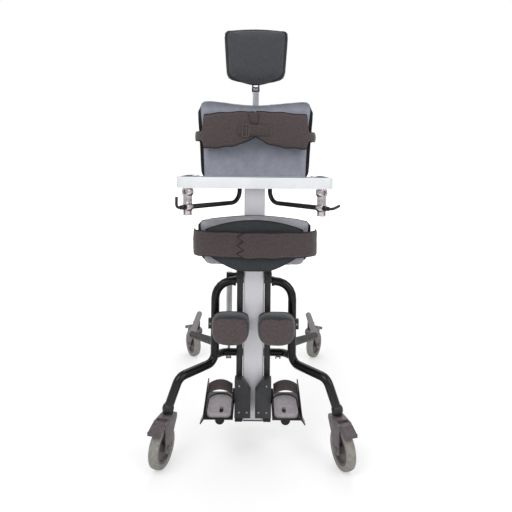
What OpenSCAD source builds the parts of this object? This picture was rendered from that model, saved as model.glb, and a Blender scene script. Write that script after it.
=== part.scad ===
/* [Frame] */
// Height of the tilt axle above the floor
pivot_h = 540; // [520:1:580]
// Outside diameter of the frame tube
tube_d = 30; // [26:1:32]
// Wall of the frame tube
tube_wall = 2; // [1.5:0.5:3]
// Distance from the middle plane to each upright
upright_x = 136; // [133:1:150]
// Radius of the hoop at the top of each upright
hoop_r = 61; // [50:1:62]
// Height of the front leg's level run
leg_h = 255; // [246:1:268]
// Bend radius at the foot of each upright
leg_bend_r = 32; // [28:1:40]
// Bend radius where the front leg turns down
shin_bend_r = 30; // [26:1:38]
// Sideways place of the bend where the front leg turns down
shin_x = 242; // [234:1:250]
// Forward place of the bend where the front leg turns down
shin_y = 118; // [108:1:126]
// Height of the tube that ties the uprights together
cross_h = 277; // [272:1:290]
// Diameter of the tube that ties the uprights together
cross_d = 26; // [22:1:28]

/* [Rear legs] */
// Outside diameter of the rear leg tube
rear_d = 28; // [24:0.5:29]
// Height where each rear leg leaves its upright
rear_root_h = 324; // [315:1:340]
// Sideways place of the rear leg's bend
rear_bend_x = 278; // [260:1:290]
// Distance of the rear leg's bend behind the axle
rear_bend_y = 449; // [420:1:480]
// Height of the rear leg's level run
rear_h = 178; // [174:1:190]
// Distance of the rear leg's end behind the axle
rear_end_y = 716; // [690:1:740]
// Bend radius of the rear leg
rear_bend_r = 80; // [60:1:110]

/* [Castors] */
// Sideways place of the front castor stems
front_stem_x = 274; // [264:1:286]
// Forward place of the front castor stems
front_stem_y = 134; // [128:1:142]
// Distance of the rear castor stems behind the axle
rear_stem_y = 612; // [590:1:630]
// Wheel diameter
wheel_d = 125; // [110:1:127]
// Tyre width
tyre_w = 32; // [26:1:34]
// Diameter of the wheel's rim under the tyre
rim_d = 92; // [80:1:98]
// Distance from the stem's axis to the wheel's axle
castor_trail = 40; // [34:1:44]
// Diameter of the castor stem
stem_d = 14; // [10:1:16]
// Diameter of the wheel's axle bolt
wheel_axle_d = 10; // [8:1:12]
// Thickness of a fork cheek
cheek_t = 4; // [3:0.5:6]
// Height of the gap between a fork's crown and its socket's foot above the floor
castor_h = 148.5; // [146:0.5:150]
// How far the front castors are turned from straight ahead
front_turn = 17; // [0:1:60]
// How far the rear castors are turned from straight back
rear_turn = 30; // [0:1:60]

/* [Column] */
// Column width
column_w = 72; // [64:1:73]
// Column depth
column_d = 40; // [34:1:42]
// Column wall
column_wall = 3; // [2:0.5:5]
// Distance of the column's middle in front of the axle
column_y = 8; // [7:1:9]
// Height of the column's lower end
column_bottom = 66; // [60:1:76]
// Height of the column's upper end above the tilt axle
column_rise = 590; // [570:1:600]
// Diameter of the tilt axle
axle_d = 16; // [12:1:17]
// Diameter of the two guide rails
rail_d = 22; // [18:1:22]
// Distance from the middle plane to each guide rail
rail_x = 48; // [48:0.5:50]
// Distance of the rails in front of the axle
rail_y = 26; // [25:1:28]
// Height of the rails' upper end above the tilt axle
rail_rise = 60; // [50:1:64]

/* [Gas spring] */
// Distance from the middle plane to the gas spring
spring_x = 90; // [86:1:94]
// Distance of the spring's lower pivot behind the axle
spring_y = 60; // [58:1:66]
// Height of the spring's lower pivot
spring_foot_h = 250; // [246:1:256]
// Height of the spring's upper pivot above the tilt axle
spring_head_rise = 8; // [6:1:10]
// Diameter of the gas cylinder
spring_d = 22; // [18:1:24]
// Diameter of the spring's rod
spring_rod_d = 10; // [8:1:10]
// Length of the gas cylinder
spring_tube_l = 193; // [180:1:198]
// Diameter of the spring's pins
spring_pin_d = 8; // [6:1:8]

/* [Head support] */
// Width of the flat head post
post_w = 22; // [18:1:26]
// Thickness of the flat head post
post_t = 8; // [6:1:10]
// Height of the head pad's tilt pin above the tilt axle
head_pin_rise = 678; // [665:1:682]
// Width of the head pad at its top
head_top_w = 226; // [205:1:240]
// Width of the head pad at its foot
head_foot_w = 203; // [180:1:210]
// Height of the head pad's lower corners above the tilt axle
head_foot_rise = 711; // [708:1:720]
// Height of the head pad
head_pad_h = 169; // [155:1:180]
// Thickness of the head cushion
head_pad_t = 34; // [24:1:40]

/* [Chest support] */
// Width of the chest pad at its top
chest_top_w = 384; // [360:1:386]
// Width of the chest pad at its foot
chest_foot_w = 346; // [320:1:350]
// Height of the chest pad's lower edge above the tilt axle
chest_foot_rise = 344; // [340:1:356]
// Height of the chest pad
chest_pad_h = 286; // [270:1:300]
// Thickness of the chest cushion
chest_pad_t = 40; // [30:1:46]
// How far the chest pad's sides come forward
chest_curl = 26; // [16:1:30]
// Height of the chest belt's padded halves
chest_belt_w = 111; // [90:1:116]
// Height of the chest belt at its narrow middle
chest_belt_neck = 82; // [60:1:92]

/* [Hip support] */
// Width of the hip pad at its top
hip_top_w = 378; // [350:1:384]
// Width of the hip pad at its foot
hip_foot_w = 336; // [320:1:350]
// Height of the hip pad's lower edge above the tilt axle
hip_foot_rise = 72; // [68:1:80]
// Height of the hip pad
hip_pad_h = 158; // [150:1:164]
// Thickness of the hip cushion
hip_pad_t = 40; // [30:1:46]
// Height of the hip belt's band
hip_band_w = 80; // [70:1:90]
// How far the hip belt bows forward in the middle
hip_bow = 42; // [36:1:50]

/* [Tray] */
// Width of the tray
tray_w = 454; // [446:1:466]
// Depth of the tray from front edge to wing tips
tray_depth = 205; // [180:1:208]
// Thickness of the tray
tray_t = 32; // [26:1:34]
// Height of the tray's top above the tilt axle
tray_rise = 380; // [375:1:386]
// Distance of the tray's front edge in front of the axle
tray_front = 325; // [320:1:335]
// Depth of the tray's front bar
tray_bar = 74; // [60:1:90]
// Width of the cut-out for the body
tray_gap = 364; // [340:1:370]
// Diameter of the tray arms
arm_d = 16; // [14:1:18]
// Height of the tray arms' level run above the tilt axle
arm_rise = 280; // [275:1:290]
// Turn of the left clamp lever's handle about its arm
lever_turn_left = 90; // [60:1:120]
// Turn of the right clamp lever's handle about its arm
lever_turn_right = 15; // [0:1:90]

/* [Knee supports] */
// Width of a knee pad
knee_w = 132; // [116:1:134]
// Height of a knee pad
knee_pad_h = 102; // [94:1:112]
// Thickness of a knee pad
knee_t = 56; // [46:1:64]
// Height of the knee pads' middle
knee_h = 402; // [394:1:410]
// Distance from the middle plane to a knee pad's middle
knee_x = 77; // [76:1:80]

/* [Foot supports] */
// Length of a foot plate
foot_l = 168; // [150:1:176]
// Outer edge of a foot plate from the middle plane
foot_out = 158; // [150:1:160]
// Height of the foot plates' top
foot_h = 150; // [146:1:154]
// Thickness of a foot plate
foot_t = 5; // [4:1:8]
// Height of a foot plate's outer wall at its rear
foot_wall_h = 46; // [36:1:48]
// Length of a sole
sole_l = 122; // [110:1:124]
// Width of a sole
sole_w = 76; // [66:1:78]
// Thickness of a sole
sole_t = 12; // [8:1:14]

/* [Fits] */
// Radial running clearance of a pin or stem
running_gap = 0.05; // [0.02:0.01:0.1]
// Clearance of a sliding fit
slide_gap = 0.3; // [0.2:0.1:0.4]
// Clearance between a soft pad and what it lies on
soft_gap = 0.5; // [0.4:0.1:0.8]

/* [Hidden] */
$fn = 48;

// Colours as the object shows them
black_paint = "#1b1718";
silver_paint = "#dcdade";
fork_grey = "#6a6061";
tyre_grey = "#8f8c86";
hub_grey = "#5e5455";
black_plastic = "#26272a";
bright_metal = "#b9bcc2";
pad_blue_grey = "#8c8f9b";
pad_light_grey = "#a2a1a9";
head_grey = "#434448";
belt_brown = "#4a4142";
sole_grey = "#7f787c";
tray_white = "#e6e8ea";

// Heights above the floor
column_top = pivot_h + column_rise;
rail_top = pivot_h + rail_rise;
head_pin_h = pivot_h + head_pin_rise;
head_foot_h = pivot_h + head_foot_rise;
chest_foot_h = pivot_h + chest_foot_rise;
hip_foot_h = pivot_h + hip_foot_rise;
tray_h = pivot_h + tray_rise;
arm_h = pivot_h + arm_rise;

// Frame values
tube_r = tube_d / 2;
wheel_r = wheel_d / 2;
rim_r = rim_d / 2;
hinge_x = rail_x + rail_d / 2 + 4;
hinge_plug_l = upright_x - hoop_r - hinge_x - 3;
foot_joint_h = castor_h + 14;
cap_l = 9;
cross_y = 30;
cross_bend_x = upright_x - 28;
cross_bend_r = 40;

// Castor values, in the castor's own frame with the stem on its Z axis and the wheel trailing along Y
socket_gap = 0.5;
rim_w = tyre_w - 6;
cheek_in = tyre_w / 2 + 2.5;
cheek_out = cheek_in + cheek_t;
crown_h = castor_h - 2.5;
crown_t = 16;
boss_r = wheel_axle_d / 2 + 12;
pedal_pin_y = castor_trail + 8;
pedal_pin_h = crown_h - 8;
pedal_pin_d = 6;
pedal_tip = castor_trail + 52;
tyre_shoulder_r = (rim_r + wheel_r) / 2;
tyre_profile = concat(
    [[rim_r, -rim_w / 2]],
    [for (a = [-90 : 15 : 90]) [
        tyre_shoulder_r + (wheel_r - tyre_shoulder_r) * pow(cos(a), 0.6),
        tyre_w / 2 * sin(a)
    ]],
    [[rim_r, rim_w / 2]]
);

// Castor places: stem X, stem Y and the turn of the trailing direction
front_left = [-front_stem_x, -front_stem_y, 180 - front_turn];
front_right = [front_stem_x, -front_stem_y, 180 + front_turn];
rear_left = [-rear_bend_x, rear_stem_y, rear_turn];
rear_right = [rear_bend_x, rear_stem_y, -rear_turn];

// The origin is under the middle of the outline, which runs from the tray's front edge to the rear legs' caps
pivot_y = (tray_front - rear_end_y - cap_l) / 2;

// Helpers
function unit(v) = v / norm(v);
function lerp(a, b, t) = a + (b - a) * t;
function signed_pow(v, e) = sign(v) * pow(abs(v), e);

module place() {
    translate([0, pivot_y, 0]) children();
}

module sided(side) {
    if (side > 0) children();
    else mirror([1, 0, 0]) children();
}

module both_sides() {
    for (side = [-1, 1]) sided(side) children();
}

// Draws children with their X, Y and Z axes along e1, e2 and their cross product, at point p
module oriented(p, e1, e2) {
    e3 = cross(e1, e2);
    multmatrix([
        [e1[0], e2[0], e3[0], p[0]],
        [e1[1], e2[1], e3[1], p[1]],
        [e1[2], e2[2], e3[2], p[2]],
        [0, 0, 0, 1]
    ]) children();
}

module annulus(d, wall) {
    difference() {
        circle(d = d);
        if (2 * wall < d) circle(d = d - 2 * wall);
    }
}

// Bent tubes run through stations of place and direction: two at the ends and a fan of them round each bend
tube_sides = 16;
bend_step = 15;

function way(p, i) = unit(p[i + 1] - p[i]);
function turn_angle(p, i) = acos(way(p, i - 1) * way(p, i));
function trim(p, r, i) = r[i - 1] * tan(turn_angle(p, i) / 2);
function level_axis(w) = abs(w[2]) > 0.99 ? [1, 0, 0] : unit(cross([0, 0, 1], w));

function bend_stations(p, r, i) =
    let (
        u = way(p, i - 1),
        v = way(p, i),
        inward = unit(v - u * (u * v)),
        turn = turn_angle(p, i),
        centre = p[i] - u * trim(p, r, i) + inward * r[i - 1],
        steps = ceil(turn / bend_step)
    )
    [for (k = [0 : steps]) let (a = turn * k / steps)
        [centre + (u * sin(a) - inward * cos(a)) * r[i - 1], u * cos(a) + inward * sin(a)]
    ];

// Widest round plug that enters a bent tube
function tube_bore(d) = (d - 2 * tube_wall) * cos(180 / tube_sides) - 2 * running_gap;

function stations(p, r) = concat(
    [[p[0], way(p, 0)]],
    [for (i = [1 : len(p) - 2]) each bend_stations(p, r, i)],
    [[p[len(p) - 1], way(p, len(p) - 2)]]
);

// One sideways axis for each station, carried along without twist
function side_axes(st, i, last) = i == len(st) ? [] :
    let (w = st[i][1], s = unit(last - w * (w * last)))
    concat([s], side_axes(st, i + 1, s));

function tube_rings(st, axes, radius) = [for (i = [0 : len(st) - 1])
    let (s = axes[i], c = cross(st[i][1], s))
    [for (k = [0 : tube_sides - 1])
        let (a = 360 * k / tube_sides) st[i][0] + radius * (cos(a) * s + sin(a) * c)
    ]
];

// Draws children with their Z axis from point a along the direction given, their X axis level
module along(a, direction) {
    w = unit(direction);
    oriented(a, level_axis(w), cross(w, level_axis(w))) children();
}

module straight_tube(a, b, d, wall) {
    along(a, b - a) linear_extrude(norm(b - a)) annulus(d, wall);
}

// Tube along corner points p, with one bend radius in r for each inner corner
module bent_tube(p, r, d, wall) {
    st = stations(p, r);
    axes = side_axes(st, 0, level_axis(st[0][1]));
    outer = tube_rings(st, axes, d / 2);
    if (2 * wall < d) {
        inner = tube_rings(st, axes, d / 2 - wall);
        loop_loft(concat(outer, [for (i = [len(inner) - 1 : -1 : 0]) inner[i]]));
    } else loft(outer);
}

// Closed skin through rings of equal count whose last joins the first
module loop_loft(rings) {
    n = len(rings[0]);
    m = len(rings);
    polyhedron([for (ring = rings) each ring], [for (k = [0 : m - 1], i = [0 : n - 1])
        let (j = (i + 1) % n, next = (k + 1) % m)
        each [[k * n + i, next * n + i, next * n + j], [k * n + i, next * n + j, k * n + j]]
    ]);
}

// Extrudes a profile drawn in the YZ plane along X, from x0 to x1
module extrude_x(x0, x1) {
    translate([x0, 0, 0]) rotate([90, 0, 90]) linear_extrude(x1 - x0) children();
}

// Extrudes a profile drawn in the XZ plane along Y, from y0 to y1
module extrude_y(y0, y1) {
    translate([0, y1, 0]) rotate([90, 0, 0]) linear_extrude(y1 - y0) children();
}

module rounded_rect(w, h, r) {
    square([w - 2 * r, h], center = true);
    square([w, h - 2 * r], center = true);
    for (x = [-1, 1], y = [-1, 1]) translate([x * (w / 2 - r), y * (h / 2 - r)]) circle(r = r);
}

module box(x, y, z) {
    translate([x[0], y[0], z[0]]) cube([x[1] - x[0], y[1] - y[0], z[1] - z[0]]);
}

// Side frames: hoop, upright and front leg bent from one tube
module side_frame(side) {
    color(black_paint) place() sided(side) bent_tube(
        [
            [hinge_x + hinge_plug_l, 0, pivot_h],
            [upright_x, 0, pivot_h],
            [upright_x, 0, leg_h],
            [shin_x, -shin_y, leg_h],
            [front_stem_x, -front_stem_y, foot_joint_h]
        ],
        [hoop_r, leg_bend_r, shin_bend_r],
        tube_d, tube_wall
    );
}

// Bearing bosses in the hoops' ends, which the tilt axle turns in
module hinge_bosses() {
    color(black_paint) place() both_sides() straight_tube(
        [hinge_x, 0, pivot_h], [hinge_x + hinge_plug_l, 0, pivot_h],
        tube_d + 4, (tube_d + 4 - axle_d) / 2 - running_gap
    );
}

rear_corner = [rear_bend_x, rear_bend_y, rear_h];
rear_points = [[upright_x, 0, rear_root_h], rear_corner, [rear_bend_x, rear_end_y, rear_h]];
sleeve_r = stem_d / 2 + 5;
sleeve_rise = 4;
weld_reach = 14;

module upright_cut() {
    weld_foot = leg_h + leg_bend_r - weld_reach;
    translate([upright_x, 0, weld_foot]) cylinder(d = tube_d, h = pivot_h - hoop_r - weld_foot);
}

module rear_legs() {
    color(black_paint) place() both_sides() difference() {
        bent_tube(rear_points, [rear_bend_r], rear_d, tube_wall);
        upright_cut();
        translate([rear_bend_x, rear_stem_y, 0]) cylinder(r = sleeve_r, h = rear_h + sleeve_rise);
    }
}

// The cross tube bows back behind the column, and its lugs take the gas spring's foot
lug_t = 4;
lug_in = 5.4;
lug_r = spring_pin_d / 2 + 5;
cross_points = [
    [-upright_x, 0, cross_h], [-cross_bend_x, cross_y, cross_h],
    [cross_bend_x, cross_y, cross_h], [upright_x, 0, cross_h]
];

module spring_lug_profile() {
    translate([spring_y, spring_foot_h]) circle(r = lug_r);
    polygon([
        [cross_y, cross_h - 2], [cross_y, cross_h - cross_d / 2],
        [spring_y, spring_foot_h - lug_r], [spring_y, spring_foot_h + lug_r]
    ]);
}

module cross_tube() {
    color(black_paint) place() {
        difference() {
            bent_tube(cross_points, [cross_bend_r, cross_bend_r], cross_d, tube_wall);
            both_sides() translate([upright_x, 0, leg_h]) cylinder(d = tube_d, h = 60);
        }
        both_sides() {
            for (x = [spring_x - lug_in - lug_t, spring_x + lug_in])
                extrude_x(x, x + lug_t) spring_lug_profile();
            translate([spring_x - lug_in, spring_y, spring_foot_h]) rotate([0, 90, 0])
                cylinder(d = spring_pin_d, h = 2 * lug_in);
        }
    }
}

// Sockets that take the castor stems: a ball-shaped boot on each front leg, a collar under each rear leg
boot_r = 19;
boot_foot_r = 17;

module castor_sockets() {
    socket_z = castor_h + socket_gap;
    stem_bore = stem_d / 2 + running_gap;
    shin = unit([shin_x - front_stem_x, front_stem_y - shin_y, leg_h - foot_joint_h]);
    foot = [front_stem_x, -front_stem_y, foot_joint_h];
    color(black_plastic) place() both_sides() {
        difference() {
            union() {
                translate([front_stem_x, -front_stem_y, socket_z])
                    cylinder(r = boot_foot_r, h = foot_joint_h - socket_z);
                translate(foot) sphere(r = boot_r);
            }
            straight_tube(foot, foot + shin * 60, tube_d, tube_r);
            translate([front_stem_x, -front_stem_y, socket_z - 20]) cylinder(r = stem_bore, h = 60);
            translate([front_stem_x, -front_stem_y, socket_z - 40]) cylinder(r = 2 * boot_r, h = 40);
        }
        translate([rear_bend_x, rear_stem_y, 0]) difference() {
            union() {
                difference() {
                    translate([0, 0, socket_z]) cylinder(r = boot_foot_r, h = rear_h - socket_z);
                    translate([0, -2 * boot_r, rear_h]) rotate([-90, 0, 0])
                        cylinder(d = rear_d, h = 4 * boot_r);
                }
                translate([0, 0, socket_z]) cylinder(r = sleeve_r, h = rear_h - socket_z + sleeve_rise);
            }
            translate([0, 0, socket_z - 1]) cylinder(r = stem_bore, h = rear_h);
        }
    }
}

module tube_caps() {
    color(tyre_grey) place() both_sides() translate([rear_bend_x, rear_end_y, rear_h]) rotate([-90, 0, 0]) {
        translate([0, 0, -16]) cylinder(d = tube_bore(rear_d), h = 16);
        rotate_extrude() intersection() {
            square([rear_d / 2, cap_l]);
            union() {
                square([(rear_d - cap_l) / 2, cap_l]);
                square([rear_d / 2, cap_l / 2]);
                translate([(rear_d - cap_l) / 2, cap_l / 2]) circle(r = cap_l / 2);
            }
        }
    }
}

// Castors
module castor_place(p) {
    place() translate([p[0], p[1], 0]) rotate([0, 0, p[2]]) children();
}

module cheek_profile() {
    crown_front = -stem_d / 2 - 13;
    translate([castor_trail, wheel_r]) circle(r = boss_r);
    polygon([
        [crown_front, crown_h - crown_t], [crown_front, crown_h - 5], [crown_front + 5, crown_h],
        [pedal_pin_y + 5, crown_h], [pedal_pin_y + 9, crown_h - 4], [pedal_pin_y + 9, crown_h - crown_t],
        [castor_trail + boss_r - 3, wheel_r - 2], [castor_trail - boss_r + 3, wheel_r - 2]
    ]);
}

module crown_profile() {
    crown_front = -stem_d / 2 - 13;
    crown_back = pedal_pin_y - 16;
    polygon([
        [crown_front, crown_h - crown_t], [crown_front, crown_h - 5], [crown_front + 5, crown_h],
        [crown_back, crown_h], [crown_back, crown_h - crown_t]
    ]);
}

module castor_fork(p) {
    color(fork_grey) castor_place(p) {
        extrude_x(cheek_in, cheek_out) cheek_profile();
        extrude_x(-cheek_out, -cheek_in) cheek_profile();
        extrude_x(-cheek_in, cheek_in) crown_profile();
        translate([0, 0, crown_h]) cylinder(r = boot_foot_r - 4, h = castor_h - crown_h);
        translate([0, 0, castor_h]) cylinder(d = stem_d, h = 22);
        translate([-cheek_out - 3, castor_trail, wheel_r]) rotate([0, 90, 0])
            cylinder(d = wheel_axle_d, h = 2 * cheek_out + 6);
        for (x = [-cheek_out - 4, cheek_out]) translate([x, castor_trail, wheel_r]) rotate([0, 90, 0])
            cylinder(d = 2 * wheel_axle_d - 4, h = 4);
        translate([-cheek_in, pedal_pin_y, pedal_pin_h]) rotate([0, 90, 0])
            cylinder(d = pedal_pin_d, h = 2 * cheek_in);
    }
}

module wheel_place(p) {
    castor_place(p) translate([0, castor_trail, wheel_r]) rotate([0, 90, 0]) children();
}

module wheel_hub(p) {
    bore = wheel_axle_d / 2 + running_gap;
    half = cheek_in - slide_gap;
    profile = [
        [bore, half], [bore + 7, half], [bore + 9, 8],
        [rim_r - 10, 6], [rim_r - 6, rim_w / 2], [rim_r, rim_w / 2]
    ];
    mirrored = [for (i = [len(profile) - 1 : -1 : 0]) [profile[i][0], -profile[i][1]]];
    color(hub_grey) wheel_place(p) rotate_extrude() polygon(concat(profile, mirrored));
}

module wheel_tyre(p) {
    color(tyre_grey) wheel_place(p) rotate_extrude() polygon(tyre_profile);
}

// Brake pedal: a sleeve on its pin, a blade that slopes down over the tyre and a brake shoe under it
module brake_pedal(p) {
    sleeve = pedal_pin_d / 2 + 3.5;
    half = cheek_in - slide_gap;
    color(black_plastic) castor_place(p) difference() {
        union() {
            extrude_x(-half, half) translate([pedal_pin_y, pedal_pin_h]) {
                circle(r = sleeve);
                polygon([[0, sleeve], [14, sleeve - 2], [14, -sleeve + 1], [0, -sleeve]]);
            }
            extrude_x(-cheek_out, cheek_out) translate([pedal_pin_y, pedal_pin_h]) polygon([
                [12, sleeve - 2], [pedal_tip - pedal_pin_y - 3, -8], [pedal_tip - pedal_pin_y, -5],
                [pedal_tip - pedal_pin_y, -17], [pedal_tip - pedal_pin_y - 5, -17], [12, -sleeve + 1]
            ]);
        }
        translate([-cheek_in, pedal_pin_y, pedal_pin_h]) rotate([0, 90, 0])
            cylinder(d = pedal_pin_d + 2 * running_gap, h = 2 * cheek_in);
    }
}

// Column, rails and tilt axle
column_front = column_y + column_d / 2;
column_back = column_d / 2 - column_y;
corner_r = 6;

module column_section(inset) {
    translate([0, -column_y])
        rounded_rect(column_w - 2 * inset, column_d - 2 * inset, corner_r - min(inset, corner_r / 2));
}

module column() {
    color(silver_paint) place() difference() {
        translate([0, 0, column_bottom]) linear_extrude(column_top - column_bottom) difference() {
            column_section(0);
            column_section(column_wall);
        }
        translate([-column_w, 0, pivot_h]) rotate([0, 90, 0]) cylinder(d = axle_d, h = 2 * column_w);
    }
}

// Foot plug, and the head post's clamp on the column's upper end
clamp_h = 22;
plug_l = 24;
post_slot = [post_w + 2 * slide_gap, post_t + 2 * slide_gap];

module column_caps() {
    color(black_plastic) place() {
        translate([0, 0, column_bottom - 4]) linear_extrude(4) column_section(0);
        translate([0, 0, column_bottom]) linear_extrude(plug_l) column_section(column_wall);
        difference() {
            union() {
                translate([0, 0, column_top - plug_l]) linear_extrude(plug_l) column_section(column_wall);
                translate([0, 0, column_top]) linear_extrude(clamp_h) column_section(0);
                translate([0, column_back, column_top + clamp_h / 2]) clamp_knob();
            }
            translate([0, -column_y, column_top])
                cube([post_slot[0], post_slot[1], 4 * plug_l], center = true);
        }
    }
}

// Hand knob on a screw, pointing back
module clamp_knob() {
    rotate([-90, 0, 0]) {
        cylinder(r = 5, h = 8);
        translate([0, 0, 8]) cylinder(r = 11, h = 4);
        translate([0, 0, 12]) difference() {
            cylinder(r = 17, h = 14);
            for (a = [0 : 60 : 300]) rotate([0, 0, a]) translate([21, 0, -1]) cylinder(r = 7, h = 16);
        }
    }
}

module guide_rails() {
    color(black_paint) place() both_sides() straight_tube(
        [rail_x, -rail_y, column_bottom], [rail_x, -rail_y, rail_top], rail_d, tube_wall
    );
}

// Blocks that tie the rails to the column, and the arm that carries the gas spring's head
block_h = 24;
block_top_z = pivot_h + axle_d / 2 + 8;
block_low_h = 16;
spring_head_y = spring_y + 2;
spring_head_h = pivot_h + spring_head_rise;
arm_plate_y = 26;
arm_plate_t = 6;

module rail_block(z, h) {
    difference() {
        box(
            [column_w / 2, rail_x + rail_d / 2 + 3],
            [-rail_y - rail_d / 2 - 2, -rail_y + rail_d / 2 + 4],
            [z, z + h]
        );
        translate([rail_x, -rail_y, 0]) cylinder(d = rail_d, h = 2 * z);
    }
}

module spring_arm_profile() {
    translate([spring_head_y, spring_head_h]) circle(r = lug_r);
    polygon([
        [arm_plate_y, spring_head_h - 14], [arm_plate_y, spring_head_h + 14],
        [arm_plate_y + 12, spring_head_h + 14], [spring_head_y, spring_head_h + lug_r],
        [spring_head_y, spring_head_h - lug_r], [arm_plate_y + 12, spring_head_h - 14]
    ]);
}

module rail_brackets() {
    color(black_paint) place() {
        both_sides() {
            rail_block(block_top_z, block_h);
            rail_block(column_bottom, block_low_h);
        }
        box([-30, 30], [column_back, arm_plate_y], [spring_head_h - 14, spring_head_h + 14]);
        box(
            [-spring_x - lug_in - lug_t, 30], [arm_plate_y, arm_plate_y + arm_plate_t],
            [spring_head_h - 14, spring_head_h + 14]
        );
        for (x = [-spring_x - lug_in - lug_t, -spring_x + lug_in])
            extrude_x(x, x + lug_t) spring_arm_profile();
        translate([-spring_x - lug_in, spring_head_y, spring_head_h]) rotate([0, 90, 0])
            cylinder(d = spring_pin_d, h = 2 * lug_in);
    }
}

module tilt_axle() {
    half = hinge_x + hinge_plug_l + 1;
    color(bright_metal) place() translate([-half, 0, pivot_h]) rotate([0, 90, 0])
        cylinder(d = axle_d, h = 2 * half);
}

// Gas spring, drawn along its own axis from its foot pivot to its head pivot
spring_foot = [-spring_x, spring_y, spring_foot_h];
spring_span = [0, spring_head_y - spring_y, spring_head_h - spring_foot_h];
spring_l = norm(spring_span);
eye_w = 2 * (lug_in - 0.4);
rod_l = 200;
tube_head = spring_l - 15;
tube_foot = tube_head - spring_tube_l;
bore_head = 250;
head_eye_gap = 2.4;

module spring_eye(bore_r) {
    rotate([0, 90, 0]) difference() {
        cylinder(r = max(lug_r, bore_r + 3.5), h = eye_w, center = true);
        cylinder(r = bore_r, h = 2 * eye_w, center = true);
    }
}

module gas_rod() {
    color(bright_metal) place() along(spring_foot, spring_span) {
        spring_eye(spring_pin_d / 2 + running_gap);
        translate([0, 0, lug_r - 1]) cylinder(d = spring_rod_d, h = rod_l - lug_r + 1);
    }
}

module gas_cylinder() {
    neck_r = 4.5;
    color(tray_white) place() along(spring_foot, spring_span) {
        difference() {
            translate([0, 0, tube_foot]) cylinder(d = spring_d, h = tube_head - tube_foot);
            translate([0, 0, tube_foot - 1])
                cylinder(r = spring_rod_d / 2 + running_gap, h = bore_head - tube_foot);
        }
        translate([0, 0, tube_head - 2]) cylinder(r = neck_r, h = spring_l - tube_head - 6);
        translate([0, 0, spring_l]) spring_eye(spring_pin_d / 2 + head_eye_gap);
    }
}

// Soft and moulded pads
// A pad's outline is a superellipse that tapers from head to foot, with waves on its upper and lower edges:
// [middle x, top width, foot width, foot height, height, roundness,
//  top wave, top reach, foot wave, waist, curl]
pad_points = 44;
pad_flat = 0.2;

function wave(size, reach, u) = size * pow(cos(90 * min(1, abs(u) / reach)), 2);

function corner_reach(a, n) = pow(pow(abs(cos(a)), n) + pow(abs(sin(a)), n), -1 / n);

function pad_point(p, s, a, y) =
    let (
        u = s * cos(a) * corner_reach(a, p[5]),
        v = s * sin(a) * corner_reach(a, p[5]),
        half = lerp(p[2], p[1], (v + 1) / 2) / 2 - p[9] * (1 - v * v),
        rise = v > 0 ? wave(p[6], p[7], u) * v * v : -wave(p[8], 1, u) * v * v,
        forward = y + p[10] * pow(max(0, abs(u) - pad_flat) / (1 - pad_flat), 2)
    )
    [p[0] + u * half, -forward, p[3] + p[4] * (v + 1) / 2 + rise];

function pad_ring(p, s, y) =
    [for (i = [0 : pad_points - 1]) pad_point(p, s, (i + 0.5) * 360 / pad_points, y)];

function middle(ring) =
    [for (k = [0 : 2]) let (c = [for (q = ring) q[k]]) c * [for (q = ring) 1] / len(ring)];

// Closed skin through rings of equal count, with a fan on the first and the last
module loft(rings) {
    n = len(rings[0]);
    m = len(rings);
    points = concat([for (ring = rings) each ring], [middle(rings[0]), middle(rings[m - 1])]);
    walls = [for (k = [0 : m - 2], i = [0 : n - 1]) let (j = (i + 1) % n) each [
        [k * n + i, (k + 1) * n + i, (k + 1) * n + j],
        [k * n + i, (k + 1) * n + j, k * n + j]
    ]];
    first = [for (i = [0 : n - 1]) [m * n, i, (i + 1) % n]];
    last = [for (i = [0 : n - 1]) [m * n + 1, (m - 1) * n + (i + 1) % n, (m - 1) * n + i]];
    polyhedron(points, concat(walls, first, last));
}

// Rings on the curled part of a pad's back
curl_rings = [0.6, 0.8, 0.93];

// Cushion with drawn-in sides and a crowned face, from its back at y0
module cushion(p, y0, t, crown) {
    layers = [
        [pad_flat, 0], for (s = curl_rings) [s, 0],
        [0.98, 0.1 * t], [1, 0.34 * t], [0.99, 0.6 * t], [0.955, 0.82 * t],
        [0.88, 0.95 * t], [0.6, t + 0.55 * crown], [pad_flat, t + crown]
    ];
    loft([for (l = layers) pad_ring(p, l[0], y0 + l[1])]);
}

// Moulded backing plate of even thickness, from its back at y0
module backing(p, y0, t) {
    layers = [
        [pad_flat, 0], for (s = curl_rings) [s, 0], [1, 0],
        [1, t], for (i = [len(curl_rings) - 1 : -1 : 0]) [curl_rings[i], t], [pad_flat, t]
    ];
    loft([for (l = layers) pad_ring(p, l[0], y0 + l[1])]);
}

// Belts run in a level bow from one side to the other: [half width, side depth, bow depth]
belt_points = 12;
belt_steps = 36;

function belt_at(b, a, inset) =
    let (
        x = b[0] * signed_pow(sin(a), 0.5),
        y = b[1] + b[2] * pow(cos(a), 0.5),
        n = unit([signed_pow(sin(a), 1.5) / b[0], pow(cos(a), 1.5) / b[2]])
    )
    [x - n[0] * inset, y - n[1] * inset, n[0], n[1]];

// One ring of a belt: path place q, middle height z, half height h and half thickness t
function belt_ring(q, z, h, t) = [for (i = [0 : belt_points - 1])
    let (
        c = cos(i * 360 / belt_points),
        s = sin(i * 360 / belt_points),
        out = t * signed_pow(c, 0.8)
    )
    [q[0] + q[2] * out, -q[1] - q[3] * out, z - h * signed_pow(s, 0.4)]
];

belt_angles = [for (i = [0 : belt_steps]) let (t = 2 * i / belt_steps - 1) 90 * sign(t) * t * t];

// Carriage that slides on the column, with its boss for a pad in front and its clamp knob behind
carriage_t = 6;
pad_back = 46;

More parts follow.
